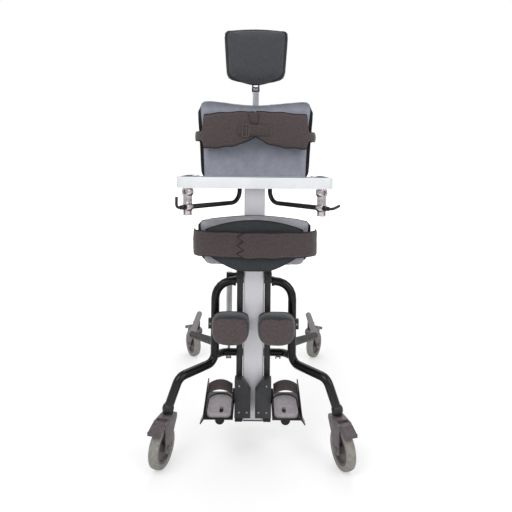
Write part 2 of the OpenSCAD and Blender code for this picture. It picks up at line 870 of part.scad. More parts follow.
module carriage(z, h) {
    outer = -slide_gap - carriage_t;
    difference() {
        translate([0, 0, z]) linear_extrude(h) difference() {
            column_section(outer);
            column_section(-slide_gap);
        }
        translate([0, 0, z + h / 2]) rotate([-90, 0, 0]) cylinder(r = 5, h = 2 * column_d);
    }
    translate([0, column_back - outer, z + h / 2]) clamp_knob();
    translate([0, column_back + slide_gap, z + h / 2]) rotate([-90, 0, 0]) cylinder(r = 5, h = carriage_t);
}

module pad_boss(z, h) {
    box([-26, 26], [-pad_back, -column_front - slide_gap - carriage_t], [z, z + h]);
}

// Head support
head_pad = [0, head_top_w, head_foot_w, head_foot_h, head_pad_h, 12, 5, 1, 20, 0, 0];
knuckle_w = 16;
knuckle_r = 10;
head_pin_d = 8;
ear_t = 5;
head_back = column_y + 10;
post_foot = column_top - 170;

module head_post() {
    color(bright_metal) place() {
        box(
            [-post_w / 2, post_w / 2], [-column_y - post_t / 2, -column_y + post_t / 2],
            [post_foot, head_pin_h - knuckle_r - 2]
        );
        box(
            [-knuckle_w / 2, knuckle_w / 2], [-column_y - post_t / 2, -column_y + post_t / 2],
            [head_pin_h - knuckle_r - 4, head_pin_h]
        );
        translate([-knuckle_w / 2, -column_y, head_pin_h]) rotate([0, 90, 0])
            cylinder(r = knuckle_r, h = knuckle_w);
        translate([-knuckle_w / 2 - ear_t - 1, -column_y, head_pin_h]) rotate([0, 90, 0])
            cylinder(d = head_pin_d, h = knuckle_w + 2 * ear_t + 2);
    }
}

module head_ear_profile() {
    translate([-column_y, head_pin_h]) circle(r = knuckle_r);
    polygon([
        [-column_y + knuckle_r, head_pin_h], [-column_y + knuckle_r, head_pin_h + 60],
        [-head_back, head_pin_h + 72], [-head_back, head_pin_h + 12], [-column_y - knuckle_r, head_pin_h]
    ]);
}

module head_shell() {
    inner = knuckle_w / 2 + slide_gap;
    color(black_plastic) place() {
        backing(head_pad, head_back, 6);
        difference() {
            both_sides() extrude_x(inner, inner + ear_t) head_ear_profile();
            translate([-50, -column_y, head_pin_h]) rotate([0, 90, 0])
                cylinder(r = head_pin_d / 2 + running_gap, h = 100);
        }
    }
}

module head_cushion() {
    color(head_grey) place() cushion(head_pad, head_back + 6 + soft_gap, head_pad_t, 5);
}

// Chest support
chest_pad = [0, chest_top_w, chest_foot_w, chest_foot_h, chest_pad_h, 9, -13, 0.7, 0, 3, chest_curl];
shell_lip = 8;
chest_plate = [
    0, chest_top_w + 2 * shell_lip, chest_foot_w + 2 * shell_lip,
    chest_foot_h + 4, chest_pad_h - 8, 9, -13, 0.7, 0, 3,
    chest_curl
];
shell_t = 6;
cushion_back = pad_back + shell_t + soft_gap;
chest_car_z = chest_foot_h + 116;
chest_car_h = 90;
chest_belt_z = chest_foot_h + 180;
belt_t = 5;
chest_side = lerp(chest_foot_w, chest_top_w, (chest_belt_z - chest_foot_h) / chest_pad_h) / 2;
chest_bow = [chest_side + shell_lip + belt_t + 1, pad_back + 18, chest_pad_t + chest_curl + 16];
chest_anchor_z = chest_belt_z - 18;

module chest_carriage() {
    color(black_plastic) place() {
        carriage(chest_car_z, chest_car_h);
        pad_boss(chest_car_z + 10, chest_car_h - 20);
    }
}

// Anchor on each side of a shell, which a belt's end is fastened to
anchor_l = 10;
anchor_relief = 0.5;

module belt_anchors(inner, path, half_h, z) {
    outer = path[0] - belt_t - slide_gap - anchor_relief;
    both_sides() box([inner, outer], [-path[1] - anchor_l, -path[1]], [z - half_h, z + half_h]);
}

module chest_shell() {
    color(black_plastic) place() {
        backing(chest_plate, pad_back, shell_t);
        belt_anchors(chest_side + 1, chest_bow, 16, chest_anchor_z);
    }
}

module chest_cushion() {
    color(pad_blue_grey) place() cushion(chest_pad, cushion_back, chest_pad_t, 5);
}

// Bow-tie belt: wide padded halves, a narrow middle and plain webbing at its ends.
// Edges are heights at place x.
belt_rise = 8;
webbing_half = 14;
padded_reach = 160;
webbing_reach = 178;

function belt_end(x) = min(1, max(0, (abs(x) - padded_reach) / (webbing_reach - padded_reach)));

function chest_belt_top(x) =
    let (arched = chest_belt_z + chest_belt_w / 2 - 2 + belt_rise * (1 - pow(min(1, abs(x) / 150), 2)))
    lerp(arched, chest_anchor_z + webbing_half, belt_end(x));

function chest_belt_low(x) =
    let (
        middle_low = chest_belt_z + chest_belt_w / 2 - 2 + belt_rise - chest_belt_neck,
        side_low = chest_belt_z - chest_belt_w / 2 - 2
    )
    lerp(lerp(side_low, middle_low, exp(-pow(abs(x) / 52, 1.2))), chest_anchor_z - webbing_half, belt_end(x));

module chest_belt() {
    color(belt_brown) place() loft([for (a = belt_angles)
        let (q = belt_at(chest_bow, a, 0), top = chest_belt_top(q[0]), low = chest_belt_low(q[0]))
        belt_ring(q, (top + low) / 2, (top - low) / 2, belt_t)
    ]);
}

// Hip support
hip_pad = [0, hip_top_w, hip_foot_w, hip_foot_h, hip_pad_h, 8, 12, 1, 4, 0, 10];
hip_plate = [
    0, hip_top_w + 2 * shell_lip, hip_foot_w + 2 * shell_lip,
    hip_foot_h + 3, hip_pad_h - 6, 8, 12, 1, 4, 0, 10
];
hip_car_z = hip_foot_h + 43;
hip_car_h = 76;
hip_belt_z = hip_foot_h + 81;
hip_path = [hip_top_w / 2 + shell_lip + belt_t + 1, pad_back + 8, hip_pad_t + hip_bow];
hip_anchor_x = lerp(hip_foot_w, hip_top_w, (hip_belt_z - hip_foot_h) / hip_pad_h) / 2 + 3;
lining_t = 4;
lining_w = 326;

module hip_carriage() {
    color(black_plastic) place() {
        carriage(hip_car_z, hip_car_h);
        pad_boss(hip_car_z + 8, hip_car_h - 16);
    }
}

module hip_shell() {
    color(black_plastic) place() {
        backing(hip_plate, pad_back, shell_t);
        belt_anchors(hip_anchor_x, hip_path, 16, hip_belt_z);
    }
}

module hip_cushion() {
    color(pad_light_grey) place() cushion(hip_pad, cushion_back, hip_pad_t, 5);
}

// The belt's band lies on a lining with an arched top and a drawn-in foot
function lining_top(x) = hip_belt_z + hip_band_w / 2 + 2 + 36 * (1 - pow(x / (lining_w / 2 + 9), 2));
function lining_low(x) = hip_belt_z - hip_band_w / 2 - 47 + 49 * pow(max(0, abs(x) - 45) / 104, 1.3);

module hip_belt() {
    reach = lining_w / 2;
    lining_inset = belt_t + lining_t + slide_gap;
    lining_angles = [for (a = belt_angles) if (abs(belt_at(hip_path, a, lining_inset)[0]) < reach) a];
    color(belt_brown) place() {
        loft([for (a = belt_angles) belt_ring(belt_at(hip_path, a, 0), hip_belt_z, hip_band_w / 2, belt_t)]);
        loft([for (a = lining_angles)
            let (q = belt_at(hip_path, a, lining_inset), top = lining_top(q[0]), low = lining_low(q[0]))
            belt_ring(q, (top + low) / 2, (top - low) / 2, lining_t)
        ]);
    }
}

// Tray on two arms that hang from their own carriage
tray_foot = tray_h - tray_t;
tray_corner_r = 30;
tray_lip = 10;
mat_depth = 2;
arm_x = column_w / 2 + slide_gap + carriage_t + arm_d / 2 + 3;
arm_y = 12;
arm_end = [221, -200, arm_h];
arm_bend_r = 40;
arm_top = tray_h + 16;
tray_car_z = tray_h - 30;
tray_car_h = 56;
arm_corner = [arm_x, -arm_y, arm_h];
arm_way = unit(arm_end - arm_corner);
clamp_l = 24;
lever_pin_d = 6;

module tray_outline(inset) {
    back = tray_front - tray_depth;
    difference() {
        translate([0, -(tray_front + back) / 2])
            rounded_rect(tray_w - 2 * inset, tray_depth - 2 * inset, tray_corner_r - inset);
        translate([0, -(tray_front - tray_bar) / 2])
            rounded_rect(tray_gap + 2 * inset, tray_front - tray_bar + 2 * inset, tray_corner_r + inset);
    }
}

module tray_top() {
    color(tray_white) place() difference() {
        translate([0, 0, tray_foot]) linear_extrude(tray_t) tray_outline(0);
        translate([0, 0, tray_h - mat_depth]) linear_extrude(2 * mat_depth) tray_outline(tray_lip);
    }
}

module tray_arms() {
    arm_points = [[arm_x, -arm_y, arm_top], arm_corner, arm_end];
    color(black_paint) place() {
        carriage(tray_car_z, tray_car_h);
        both_sides() {
            bent_tube(arm_points, [arm_bend_r], arm_d, tube_wall);
            box(
                [column_w / 2 + slide_gap + carriage_t - 1, arm_x + arm_d / 2 + 3],
                [-arm_y - arm_d / 2 - 3, -arm_y + arm_d / 2 + 3],
                [tray_car_z + 6, tray_car_z + tray_car_h - 12]
            );
            along(arm_end, arm_way) {
                translate([0, 0, -6]) cylinder(d = arm_d - tube_wall, h = 8);
                cylinder(d = lever_pin_d, h = 14);
            }
        }
    }
}

// Each clamp is a split collar on the arm, a stem with a round eye and a flange under the tray's wing
clamp_wall = 6;
stem_w = 16;
clamp_eye_r = 15;
clamp_eye_hole_r = 7;
flange_w = 30;
clamp_ear = [14, 18];
clamp_split = 3;

module clamp_profile() {
    rise = tray_foot - arm_h;
    eye_z = rise - clamp_eye_r - clamp_wall + 1;
    difference() {
        union() {
            circle(d = arm_d + 2 * clamp_wall);
            translate([-stem_w / 2, 0]) square([stem_w, rise]);
            translate([0, eye_z]) circle(r = clamp_eye_r);
            translate([-flange_w / 2, rise - clamp_wall]) square([flange_w, clamp_wall]);
            translate([-clamp_ear[0] / 2, -arm_d / 2 - clamp_ear[1]]) square(clamp_ear);
        }
        circle(d = arm_d);
        translate([0, eye_z]) circle(r = clamp_eye_hole_r);
        translate([-clamp_split / 2, -arm_d / 2 - clamp_ear[1] - 2]) square([clamp_split, clamp_ear[1] + 4]);
    }
}

module tray_clamps() {
    start = arm_end - arm_way * (clamp_l + 4);
    side_axis = unit(cross([0, 0, 1], arm_way));
    color(bright_metal) place() both_sides()
        oriented(start, -side_axis, [0, 0, 1]) mirror([0, 0, 1]) linear_extrude(clamp_l) clamp_profile();
}

// Clamp lever on the arm's end pin, with a bent handle that stands at the angle given
lever_hub_l = 10;
lever_d = 9;
lever_reach = 16;
lever_rise = 34;

module tray_lever(side, angle) {
    color(black_plastic) place() sided(side) along(arm_end + arm_way * (2 + slide_gap), arm_way) difference() {
        union() {
            cylinder(d = lever_pin_d + 8, h = lever_hub_l);
            rotate([0, 0, angle]) bent_tube(
                [
                    [0, 0, lever_hub_l - 4], [0, 0, lever_hub_l + lever_reach],
                    [lever_rise, 0, lever_hub_l + lever_reach]
                ],
                [12], lever_d, lever_d / 2
            );
        }
        translate([0, 0, -1]) cylinder(r = lever_pin_d / 2 + running_gap, h = 14);
    }
}

// Knee supports: a clamp on the rail, a moulded back plate and a wrap-around pad
knee_plate = [knee_x, knee_w - 6, knee_w - 16, knee_h - knee_pad_h / 2 + 4, knee_pad_h - 8, 4, 0, 1, 0, 0, 0];
knee_pad_shape = [knee_x, knee_w - 4, knee_w - 14, knee_h - knee_pad_h / 2, knee_pad_h, 3.6, 0, 1, 4, -4, 0];
sleeve_in = column_w / 2 + 2 * slide_gap;
sleeve_out = rail_x + rail_d / 2 + 3;
sleeve_front = rail_y + rail_d / 2 + 4;
sleeve_back = rail_y - rail_d / 2 - 3;
knee_sleeve_h = 46;
knee_back = sleeve_front + 8;

module rail_sleeve(z, h) {
    difference() {
        box([sleeve_in, sleeve_out], [-sleeve_front, -sleeve_back], [z, z + h]);
        translate([rail_x, -rail_y, 0]) cylinder(r = rail_d / 2 + running_gap, h = 2 * z + h);
    }
}

module knee_arm(side) {
    color(black_paint) place() sided(side) {
        rail_sleeve(knee_h - knee_sleeve_h / 2, knee_sleeve_h);
        box([sleeve_in + 4, knee_x + 34], [-knee_back, -sleeve_front], [knee_h - 18, knee_h + 18]);
    }
}

module knee_shell(side) {
    edge = knee_x + knee_w / 2;
    color(black_plastic) place() sided(side) {
        backing(knee_plate, knee_back, 5);
        box([edge - 8, edge + 12], [-knee_back - 4.5, -knee_back + 8], [knee_h - 12, knee_h + 22]);
    }
}

module knee_pad(side) {
    color(belt_brown) place() sided(side) cushion(knee_pad_shape, knee_back + 5 + soft_gap, knee_t, 5);
}

// Foot supports: a moulded bracket on the rail, a tilting plate, a sole and two straps
bracket_in = 8;
bracket_front = 74;
bracket_low = foot_h - 52;
bracket_high = foot_h + 76;
bracket_chamfer = [29, 41];
foot_pin_y = 50;
foot_pin_h = foot_h + 24;
foot_pin_d = 12;
foot_in = sleeve_out + 0.4;
foot_mid = (foot_in + foot_out) / 2;
lug_w = 7;

module foot_bracket(side) {
    color(black_plastic) place() sided(side) {
        extrude_y(-bracket_front, -sleeve_front) polygon([
            [bracket_in, bracket_low], [sleeve_out, bracket_low], [sleeve_out, bracket_high],
            [bracket_in + bracket_chamfer[0], bracket_high], [bracket_in, bracket_high - bracket_chamfer[1]]
        ]);
        rail_sleeve(foot_h + 2, 58);
        translate([sleeve_out - 2, -foot_pin_y, foot_pin_h]) rotate([0, 90, 0])
            cylinder(d = foot_pin_d, h = foot_in + lug_w - sleeve_out + 2);
    }
}

module foot_plate(side) {
    wall_in = foot_out - 4;
    color(black_paint) place() sided(side) {
        difference() {
            union() {
                box([foot_in, foot_out], [-foot_l, 0], [foot_h - foot_t, foot_h]);
                extrude_x(foot_in, foot_in + lug_w) {
                    translate([-foot_pin_y, foot_pin_h]) circle(d = foot_pin_d + 12);
                    translate([-foot_pin_y - foot_pin_d, foot_h - foot_t])
                        square([2 * foot_pin_d, foot_pin_h - foot_h + foot_t]);
                }
            }
            translate([0, -foot_pin_y, foot_pin_h]) rotate([0, 90, 0])
                cylinder(r = foot_pin_d / 2 + running_gap, h = foot_out / 2);
        }
        extrude_x(wall_in, foot_out) polygon([
            [0, foot_h - foot_t], [0, foot_h + foot_wall_h], [-40, foot_h + foot_wall_h - 4],
            [-foot_l, foot_h + 8], [-foot_l, foot_h - foot_t]
        ]);
        extrude_y(-foot_l, -foot_l + 26) polygon([
            [wall_in, foot_h - foot_t], [foot_out, foot_h],
            [foot_out + 10, foot_h - 19], [foot_out + 7, foot_h - 20]
        ]);
        translate([foot_mid - 6, -foot_l, foot_h - foot_t]) rotate([-90, 0, 0]) intersection() {
            cylinder(r = 15, h = 22);
            translate([-20, 0, 0]) cube([40, 20, 30]);
        }
    }
}

sole_x = foot_mid - 2;
toe_gap = 4;
heel_y = -(foot_l - toe_gap - sole_l) - sole_w / 2;

module sole_outline(inset) {
    r = sole_w / 2 - inset;
    toe_y = -(foot_l - toe_gap) + inset;
    toe_r = 16;
    translate([sole_x, heel_y]) circle(r = r);
    translate([sole_x - r, toe_y + toe_r]) square([2 * r, heel_y - toe_y - toe_r]);
    translate([sole_x - r + toe_r, toe_y]) square([2 * r - 2 * toe_r, toe_r + 1]);
    for (x = [sole_x - r + toe_r, sole_x + r - toe_r]) translate([x, toe_y + toe_r]) circle(r = toe_r);
}

module foot_sole(side) {
    rim = 6;
    slot = [13, 36];
    color(sole_grey) place() sided(side) difference() {
        translate([0, 0, foot_h]) linear_extrude(sole_t) sole_outline(0);
        translate([0, 0, foot_h + sole_t - 3]) linear_extrude(4) sole_outline(rim);
        translate([sole_x - 7, -foot_l + 36, foot_h]) linear_extrude(sole_t)
            rounded_rect(slot[0], slot[1], slot[0] / 2 - 0.5);
    }
}

// An instep strap slopes down to the front between the pin's lug and the outer wall;
// a low loop holds the heel
strap_t = 3;
strap_in = foot_in + lug_w + slide_gap;
strap_out = foot_out - 4 - slide_gap;
strap_back = [28, foot_h + 41];
strap_front = [62, foot_h + 20];
strap_rise = 15;
strap_steps = 14;
arc_steps = 12;
loop_h = sole_t + 4;
loop_l = 34;

function strap_ring(t) =
    let (x = lerp(strap_in, strap_out, t), arch = strap_rise * (1 - pow(2 * t - 1, 2)))
    [for (c = [[strap_front, 0], [strap_back, 0], [strap_back, strap_t], [strap_front, strap_t]])
        [x, -c[0][0], c[0][1] + arch + c[1]]
    ];

function arc(r, from, to) =
    [for (i = [0 : arc_steps]) let (a = lerp(from, to, i / arc_steps)) [r * cos(a), r * sin(a)]];

module foot_straps(side) {
    loop_r = (sole_w / 2 + slide_gap) / cos(90 / arc_steps);
    color(belt_brown) place() sided(side) {
        loft([for (i = [0 : strap_steps]) strap_ring(i / strap_steps)]);
        translate([sole_x, heel_y, foot_h]) linear_extrude(loop_h) polygon(concat(
            [[loop_r, -loop_l], [loop_r + strap_t, -loop_l]], arc(loop_r + strap_t, 0, 180),
            [[-loop_r - strap_t, -loop_l], [-loop_r, -loop_l]], arc(loop_r, 180, 0)
        ));
    }
}

side_frame(-1);  // side_frame_left
side_frame(1);  // side_frame_right
hinge_bosses();
rear_legs();
cross_tube();
castor_sockets();
tube_caps();
castor_fork(front_left);  // fork_front_left
castor_fork(front_right);  // fork_front_right
castor_fork(rear_left);  // fork_rear_left
castor_fork(rear_right);  // fork_rear_right
wheel_hub(front_left);  // hub_front_left
wheel_hub(front_right);  // hub_front_right
wheel_hub(rear_left);  // hub_rear_left
wheel_hub(rear_right);  // hub_rear_right
wheel_tyre(front_left);  // tyre_front_left
wheel_tyre(front_right);  // tyre_front_right
wheel_tyre(rear_left);  // tyre_rear_left
wheel_tyre(rear_right);  // tyre_rear_right
brake_pedal(front_left);  // pedal_front_left
brake_pedal(front_right);  // pedal_front_right
brake_pedal(rear_left);  // pedal_rear_left
brake_pedal(rear_right);  // pedal_rear_right
column();
column_caps();
guide_rails();
rail_brackets();
tilt_axle();
gas_cylinder();
gas_rod();
head_post();
head_shell();
head_cushion();
chest_carriage();
chest_shell();
chest_cushion();
chest_belt();
tray_top();
tray_arms();
tray_clamps();
tray_lever(-1, lever_turn_left);  // tray_lever_left
tray_lever(1, lever_turn_right);  // tray_lever_right
hip_carriage();
hip_shell();
hip_cushion();
hip_belt();
knee_arm(-1);  // knee_arm_left
knee_arm(1);  // knee_arm_right
knee_shell(-1);  // knee_shell_left
knee_shell(1);  // knee_shell_right
knee_pad(-1);  // knee_pad_left
knee_pad(1);  // knee_pad_right
foot_bracket(-1);  // foot_bracket_left
foot_bracket(1);  // foot_bracket_right
foot_plate(-1);  // foot_plate_left
foot_plate(1);  // foot_plate_right
foot_sole(-1);  // foot_sole_left
foot_sole(1);  // foot_sole_right
foot_straps(-1);  // foot_straps_left
foot_straps(1);  // foot_straps_right
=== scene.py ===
import math

import bmesh
import bpy
from mathutils import Matrix, Vector, noise


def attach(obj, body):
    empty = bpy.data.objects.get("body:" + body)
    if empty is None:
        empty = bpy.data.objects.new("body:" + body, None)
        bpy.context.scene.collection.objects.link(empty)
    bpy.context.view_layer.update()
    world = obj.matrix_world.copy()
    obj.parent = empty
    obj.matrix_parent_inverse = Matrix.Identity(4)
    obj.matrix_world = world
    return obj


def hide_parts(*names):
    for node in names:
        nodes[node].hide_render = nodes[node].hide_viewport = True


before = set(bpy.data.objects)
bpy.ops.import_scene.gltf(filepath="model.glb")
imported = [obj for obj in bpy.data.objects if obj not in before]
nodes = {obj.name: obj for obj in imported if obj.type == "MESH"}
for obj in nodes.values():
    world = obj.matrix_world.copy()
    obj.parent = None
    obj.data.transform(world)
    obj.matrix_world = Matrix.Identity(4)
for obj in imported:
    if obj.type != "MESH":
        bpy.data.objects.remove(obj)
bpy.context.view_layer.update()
print("frame loaded:", len(nodes), "nodes")

mm = 0.001
axleY = -0.2  # the tilt axle's place along Y; -Y is the front
weldGap = 0.02 * mm  # points nearer than this become one


def linearColour(hexCode):
    channels = [int(hexCode[i:i + 2], 16) / 255 for i in (1, 3, 5)]
    return tuple(c / 12.92 if c <= 0.04045 else ((c + 0.055) / 1.055) ** 2.4 for c in channels) + (1.0,)


def addNode(tree, kind, settings=None, links=None):
    made = tree.nodes.new(kind)
    for key, value in (settings or {}).items():
        if isinstance(key, str) and hasattr(made, key):
            setattr(made, key, value)
        else:
            made.inputs[key].default_value = value
    for key, source in (links or {}).items():
        tree.links.new(source, made.inputs[key])
    return made


def newMaterial(name, sockets):
    material = bpy.data.materials.new(name)
    material.use_nodes = True
    tree = material.node_tree
    shader = tree.nodes["Principled BSDF"]
    for key, value in sockets.items():
        shader.inputs[key].default_value = value
    place = addNode(tree, "ShaderNodeTexCoord").outputs["Object"]
    return material, tree, shader, place


def link(piece):
    bpy.context.scene.collection.objects.link(piece)
    return piece


def meshFrom(bm, name):
    mesh = bpy.data.meshes.new(name)
    bm.to_mesh(mesh)
    bm.free()
    return mesh


# Stage: pale floor that stays white to the camera, soft boxes above and beside the frame
stageSet = {
    "floor": "#f4f4f3", "white": "#ffffff", "worldTint": "#f5f6f8", "floorSize": 60.0,
    "worldLight": 0.62, "floorGlow": 0.3, "glowPower": 1.45, "fade": (0.9, 3.2)}
cameraSet = {
    "place": (0.003, -1.835, 0.975), "focal": 460.0, "image": 512.0, "sensor": 36.0, "downTilt": -0.67,
    "roll": 0.54, "axisRow": 152.8}
lampSet = [
    {"name": "keyPanel", "place": (-1.6, -2.2, 3.0), "aim": (0, -0.2, 0.7), "size": 2.4, "power": 50},
    {"name": "fillPanel", "place": (2.2, -1.8, 2.0), "aim": (0, -0.2, 0.6), "size": 2.2, "power": 26},
    {"name": "backPanel", "place": (0.4, 2.4, 2.6), "aim": (0, 0, 0.6), "size": 2.6, "power": 34},
]


def buildFloor():
    bm = bmesh.new()
    bmesh.ops.create_grid(bm, x_segments=1, y_segments=1, size=stageSet["floorSize"] / 2)
    floor = link(bpy.data.objects.new("floor", meshFrom(bm, "floor")))
    material, tree, shader, place = newMaterial("paleFloor", {
        "Base Color": linearColour(stageSet["floor"]), "Roughness": 0.9, "Specular IOR Level": 0.1})
    speck = addNode(tree, "ShaderNodeTexNoise", {"Scale": 3.0, "Detail": 2.0}, {"Vector": place})
    bump = addNode(tree, "ShaderNodeBump", {"Strength": 0.02, "Distance": 0.001},
                   {"Height": speck.outputs["Fac"]})
    tree.links.new(bump.outputs["Normal"], shader.inputs["Normal"])
    glow = addNode(tree, "ShaderNodeEmission", {
        "Color": linearColour(stageSet["white"]), "Strength": stageSet["glowPower"]})
    ray = addNode(tree, "ShaderNodeLightPath")
    away = addNode(tree, "ShaderNodeVectorMath", {"operation": "LENGTH"}, {0: place})
    near, far = stageSet["fade"]
    fade = addNode(tree, "ShaderNodeMapRange", {
        "From Min": near, "From Max": far, "To Min": stageSet["floorGlow"], "To Max": 1.0},
        {"Value": away.outputs["Value"]})
    share = addNode(tree, "ShaderNodeMath", {"operation": "MULTIPLY"},
                    {0: ray.outputs["Is Camera Ray"], 1: fade.outputs["Result"]})
    lit = addNode(tree, "ShaderNodeMixShader", links={
        0: share.outputs[0], 1: shader.outputs[0], 2: glow.outputs[0]})
    tree.links.new(lit.outputs[0], tree.nodes["Material Output"].inputs["Surface"])
    floor.data.materials.append(material)


def buildWorld():
    world = bpy.data.worlds.new("studio")
    world.use_nodes = True
    bpy.context.scene.world = world
    tree = world.node_tree
    dim = addNode(tree, "ShaderNodeBackground", {
        "Color": linearColour(stageSet["worldTint"]), "Strength": stageSet["worldLight"]})
    white = addNode(tree, "ShaderNodeBackground", {
        "Color": linearColour(stageSet["white"]), "Strength": 1.0})
    ray = addNode(tree, "ShaderNodeLightPath")
    seen = addNode(tree, "ShaderNodeMath", {"operation": "MAXIMUM"}, {
        0: ray.outputs["Is Camera Ray"], 1: ray.outputs["Is Transmission Ray"]})
    mix = addNode(tree, "ShaderNodeMixShader", links={
        0: seen.outputs[0], 1: dim.outputs[0], 2: white.outputs[0]})
    tree.links.new(mix.outputs[0], tree.nodes["World Output"].inputs["Surface"])


def hangLamps():
    for item in lampSet:
        light = bpy.data.lights.new(item["name"], "AREA")
        light.energy = item["power"]
        light.size = item["size"]
        lamp = link(bpy.data.objects.new(item["name"], light))
        lamp.location = item["place"]
        beam = Vector(item["aim"]) - Vector(item["place"])
        lamp.rotation_euler = beam.to_track_quat("-Z", "Y").to_euler()


def setCamera():
    s = cameraSet
    camera = link(bpy.data.objects.new("camera", bpy.data.cameras.new("camera")))
    camera.data.sensor_width = s["sensor"]
    camera.data.lens = s["focal"] / s["image"] * s["sensor"]
    camera.data.shift_y = (s["axisRow"] - s["image"] / 2) / s["image"]  # a raised lens
    camera.location = s["place"]
    turn = Matrix.Rotation(math.radians(90 - s["downTilt"]), 4, "X")
    camera.rotation_euler = (turn @ Matrix.Rotation(math.radians(s["roll"]), 4, "Z")).to_euler()
    bpy.context.scene.camera = camera


bpy.context.scene.view_settings.view_transform = "Standard"
buildFloor()
buildWorld()
hangLamps()
setCamera()
print("stage, lamps and camera set")


# Materials. Pattern sizes are in millimetres; scales follow from them
grainDepth = 0.4  # depth of a bump as a share of its grain's size
threadDepth = 0.35  # and of its thread's pitch


def patternScale(sizeMm):
    return 1000.0 / sizeMm


def bandScale(pitchMm):
    return 2 * math.pi / 20 / (pitchMm * mm)  # a band texture repeats every 2 pi / 20 at scale 1


def hardSurface(s):
    material, tree, shader, place = newMaterial(s["name"], s["sockets"])
    if "stretch" in s:
        stretched = addNode(tree, "ShaderNodeMapping", {"Scale": s["stretch"]}, {"Vector": place})
        place = stretched.outputs["Vector"]
    patch = addNode(tree, "ShaderNodeTexNoise", {
        "Scale": patternScale(s["patch"]), "Detail": 3.0, "Roughness": 0.55}, {"Vector": place})
    tone = addNode(tree, "ShaderNodeMapRange", {"From Min": 0.32, "From Max": 0.68},
                   {"Value": patch.outputs["Fac"]})
    colour = addNode(tree, "ShaderNodeMix", {
        "data_type": "RGBA", 6: linearColour(s["colours"][0]), 7: linearColour(s["colours"][1])},
        {0: tone.outputs["Result"]}).outputs[2]
    if "edge" in s:
        corner = addNode(tree, "ShaderNodeNewGeometry").outputs["Pointiness"]
        rubbed = addNode(tree, "ShaderNodeMapRange", {
            "From Min": 0.53, "From Max": 0.62, "To Max": s["rub"]}, {"Value": corner})
        colour = addNode(tree, "ShaderNodeMix", {"data_type": "RGBA", 7: linearColour(s["edge"])},
                         {0: rubbed.outputs["Result"], 6: colour}).outputs[2]
    if "sleeve" in s:  # painted reflection: a pale colour behind a line across the piece
        behind = addNode(tree, "ShaderNodeSeparateXYZ", links={0: place}).outputs["Y"]
        reflectedShare = addNode(tree, "ShaderNodeMapRange", {
            "From Min": s["sleeve"]["from"], "From Max": s["sleeve"]["to"]}, {"Value": behind})
        colour = addNode(tree, "ShaderNodeMix", {
            "data_type": "RGBA", 7: linearColour(s["sleeve"]["colour"])},
            {0: reflectedShare.outputs["Result"], 6: colour}).outputs[2]
    tree.links.new(colour, shader.inputs["Base Color"])
    smudge = addNode(tree, "ShaderNodeTexNoise", {"Scale": patternScale(s["smudge"]), "Detail": 4.0},
                     {"Vector": place})
    gloss = addNode(tree, "ShaderNodeMapRange", {
        "From Min": 0.3, "From Max": 0.7, "To Min": s["roughness"][0], "To Max": s["roughness"][1]},
        {"Value": smudge.outputs["Fac"]})
    tree.links.new(gloss.outputs["Result"], shader.inputs["Roughness"])
    if s.get("cells"):
        grain = addNode(tree, "ShaderNodeTexVoronoi", {"Scale": patternScale(s["grain"])},
                        {"Vector": place})
        height = grain.outputs["Distance"]
    else:
        grain = addNode(tree, "ShaderNodeTexNoise", {"Scale": patternScale(s["grain"]), "Detail": 2.0},
                        {"Vector": place})
        height = grain.outputs["Fac"]
    bump = addNode(tree, "ShaderNodeBump", {
        "Strength": s["bump"], "Distance": s["grain"] * mm * grainDepth}, {"Height": height})
    tree.links.new(bump.outputs["Normal"], shader.inputs["Normal"])
    return material


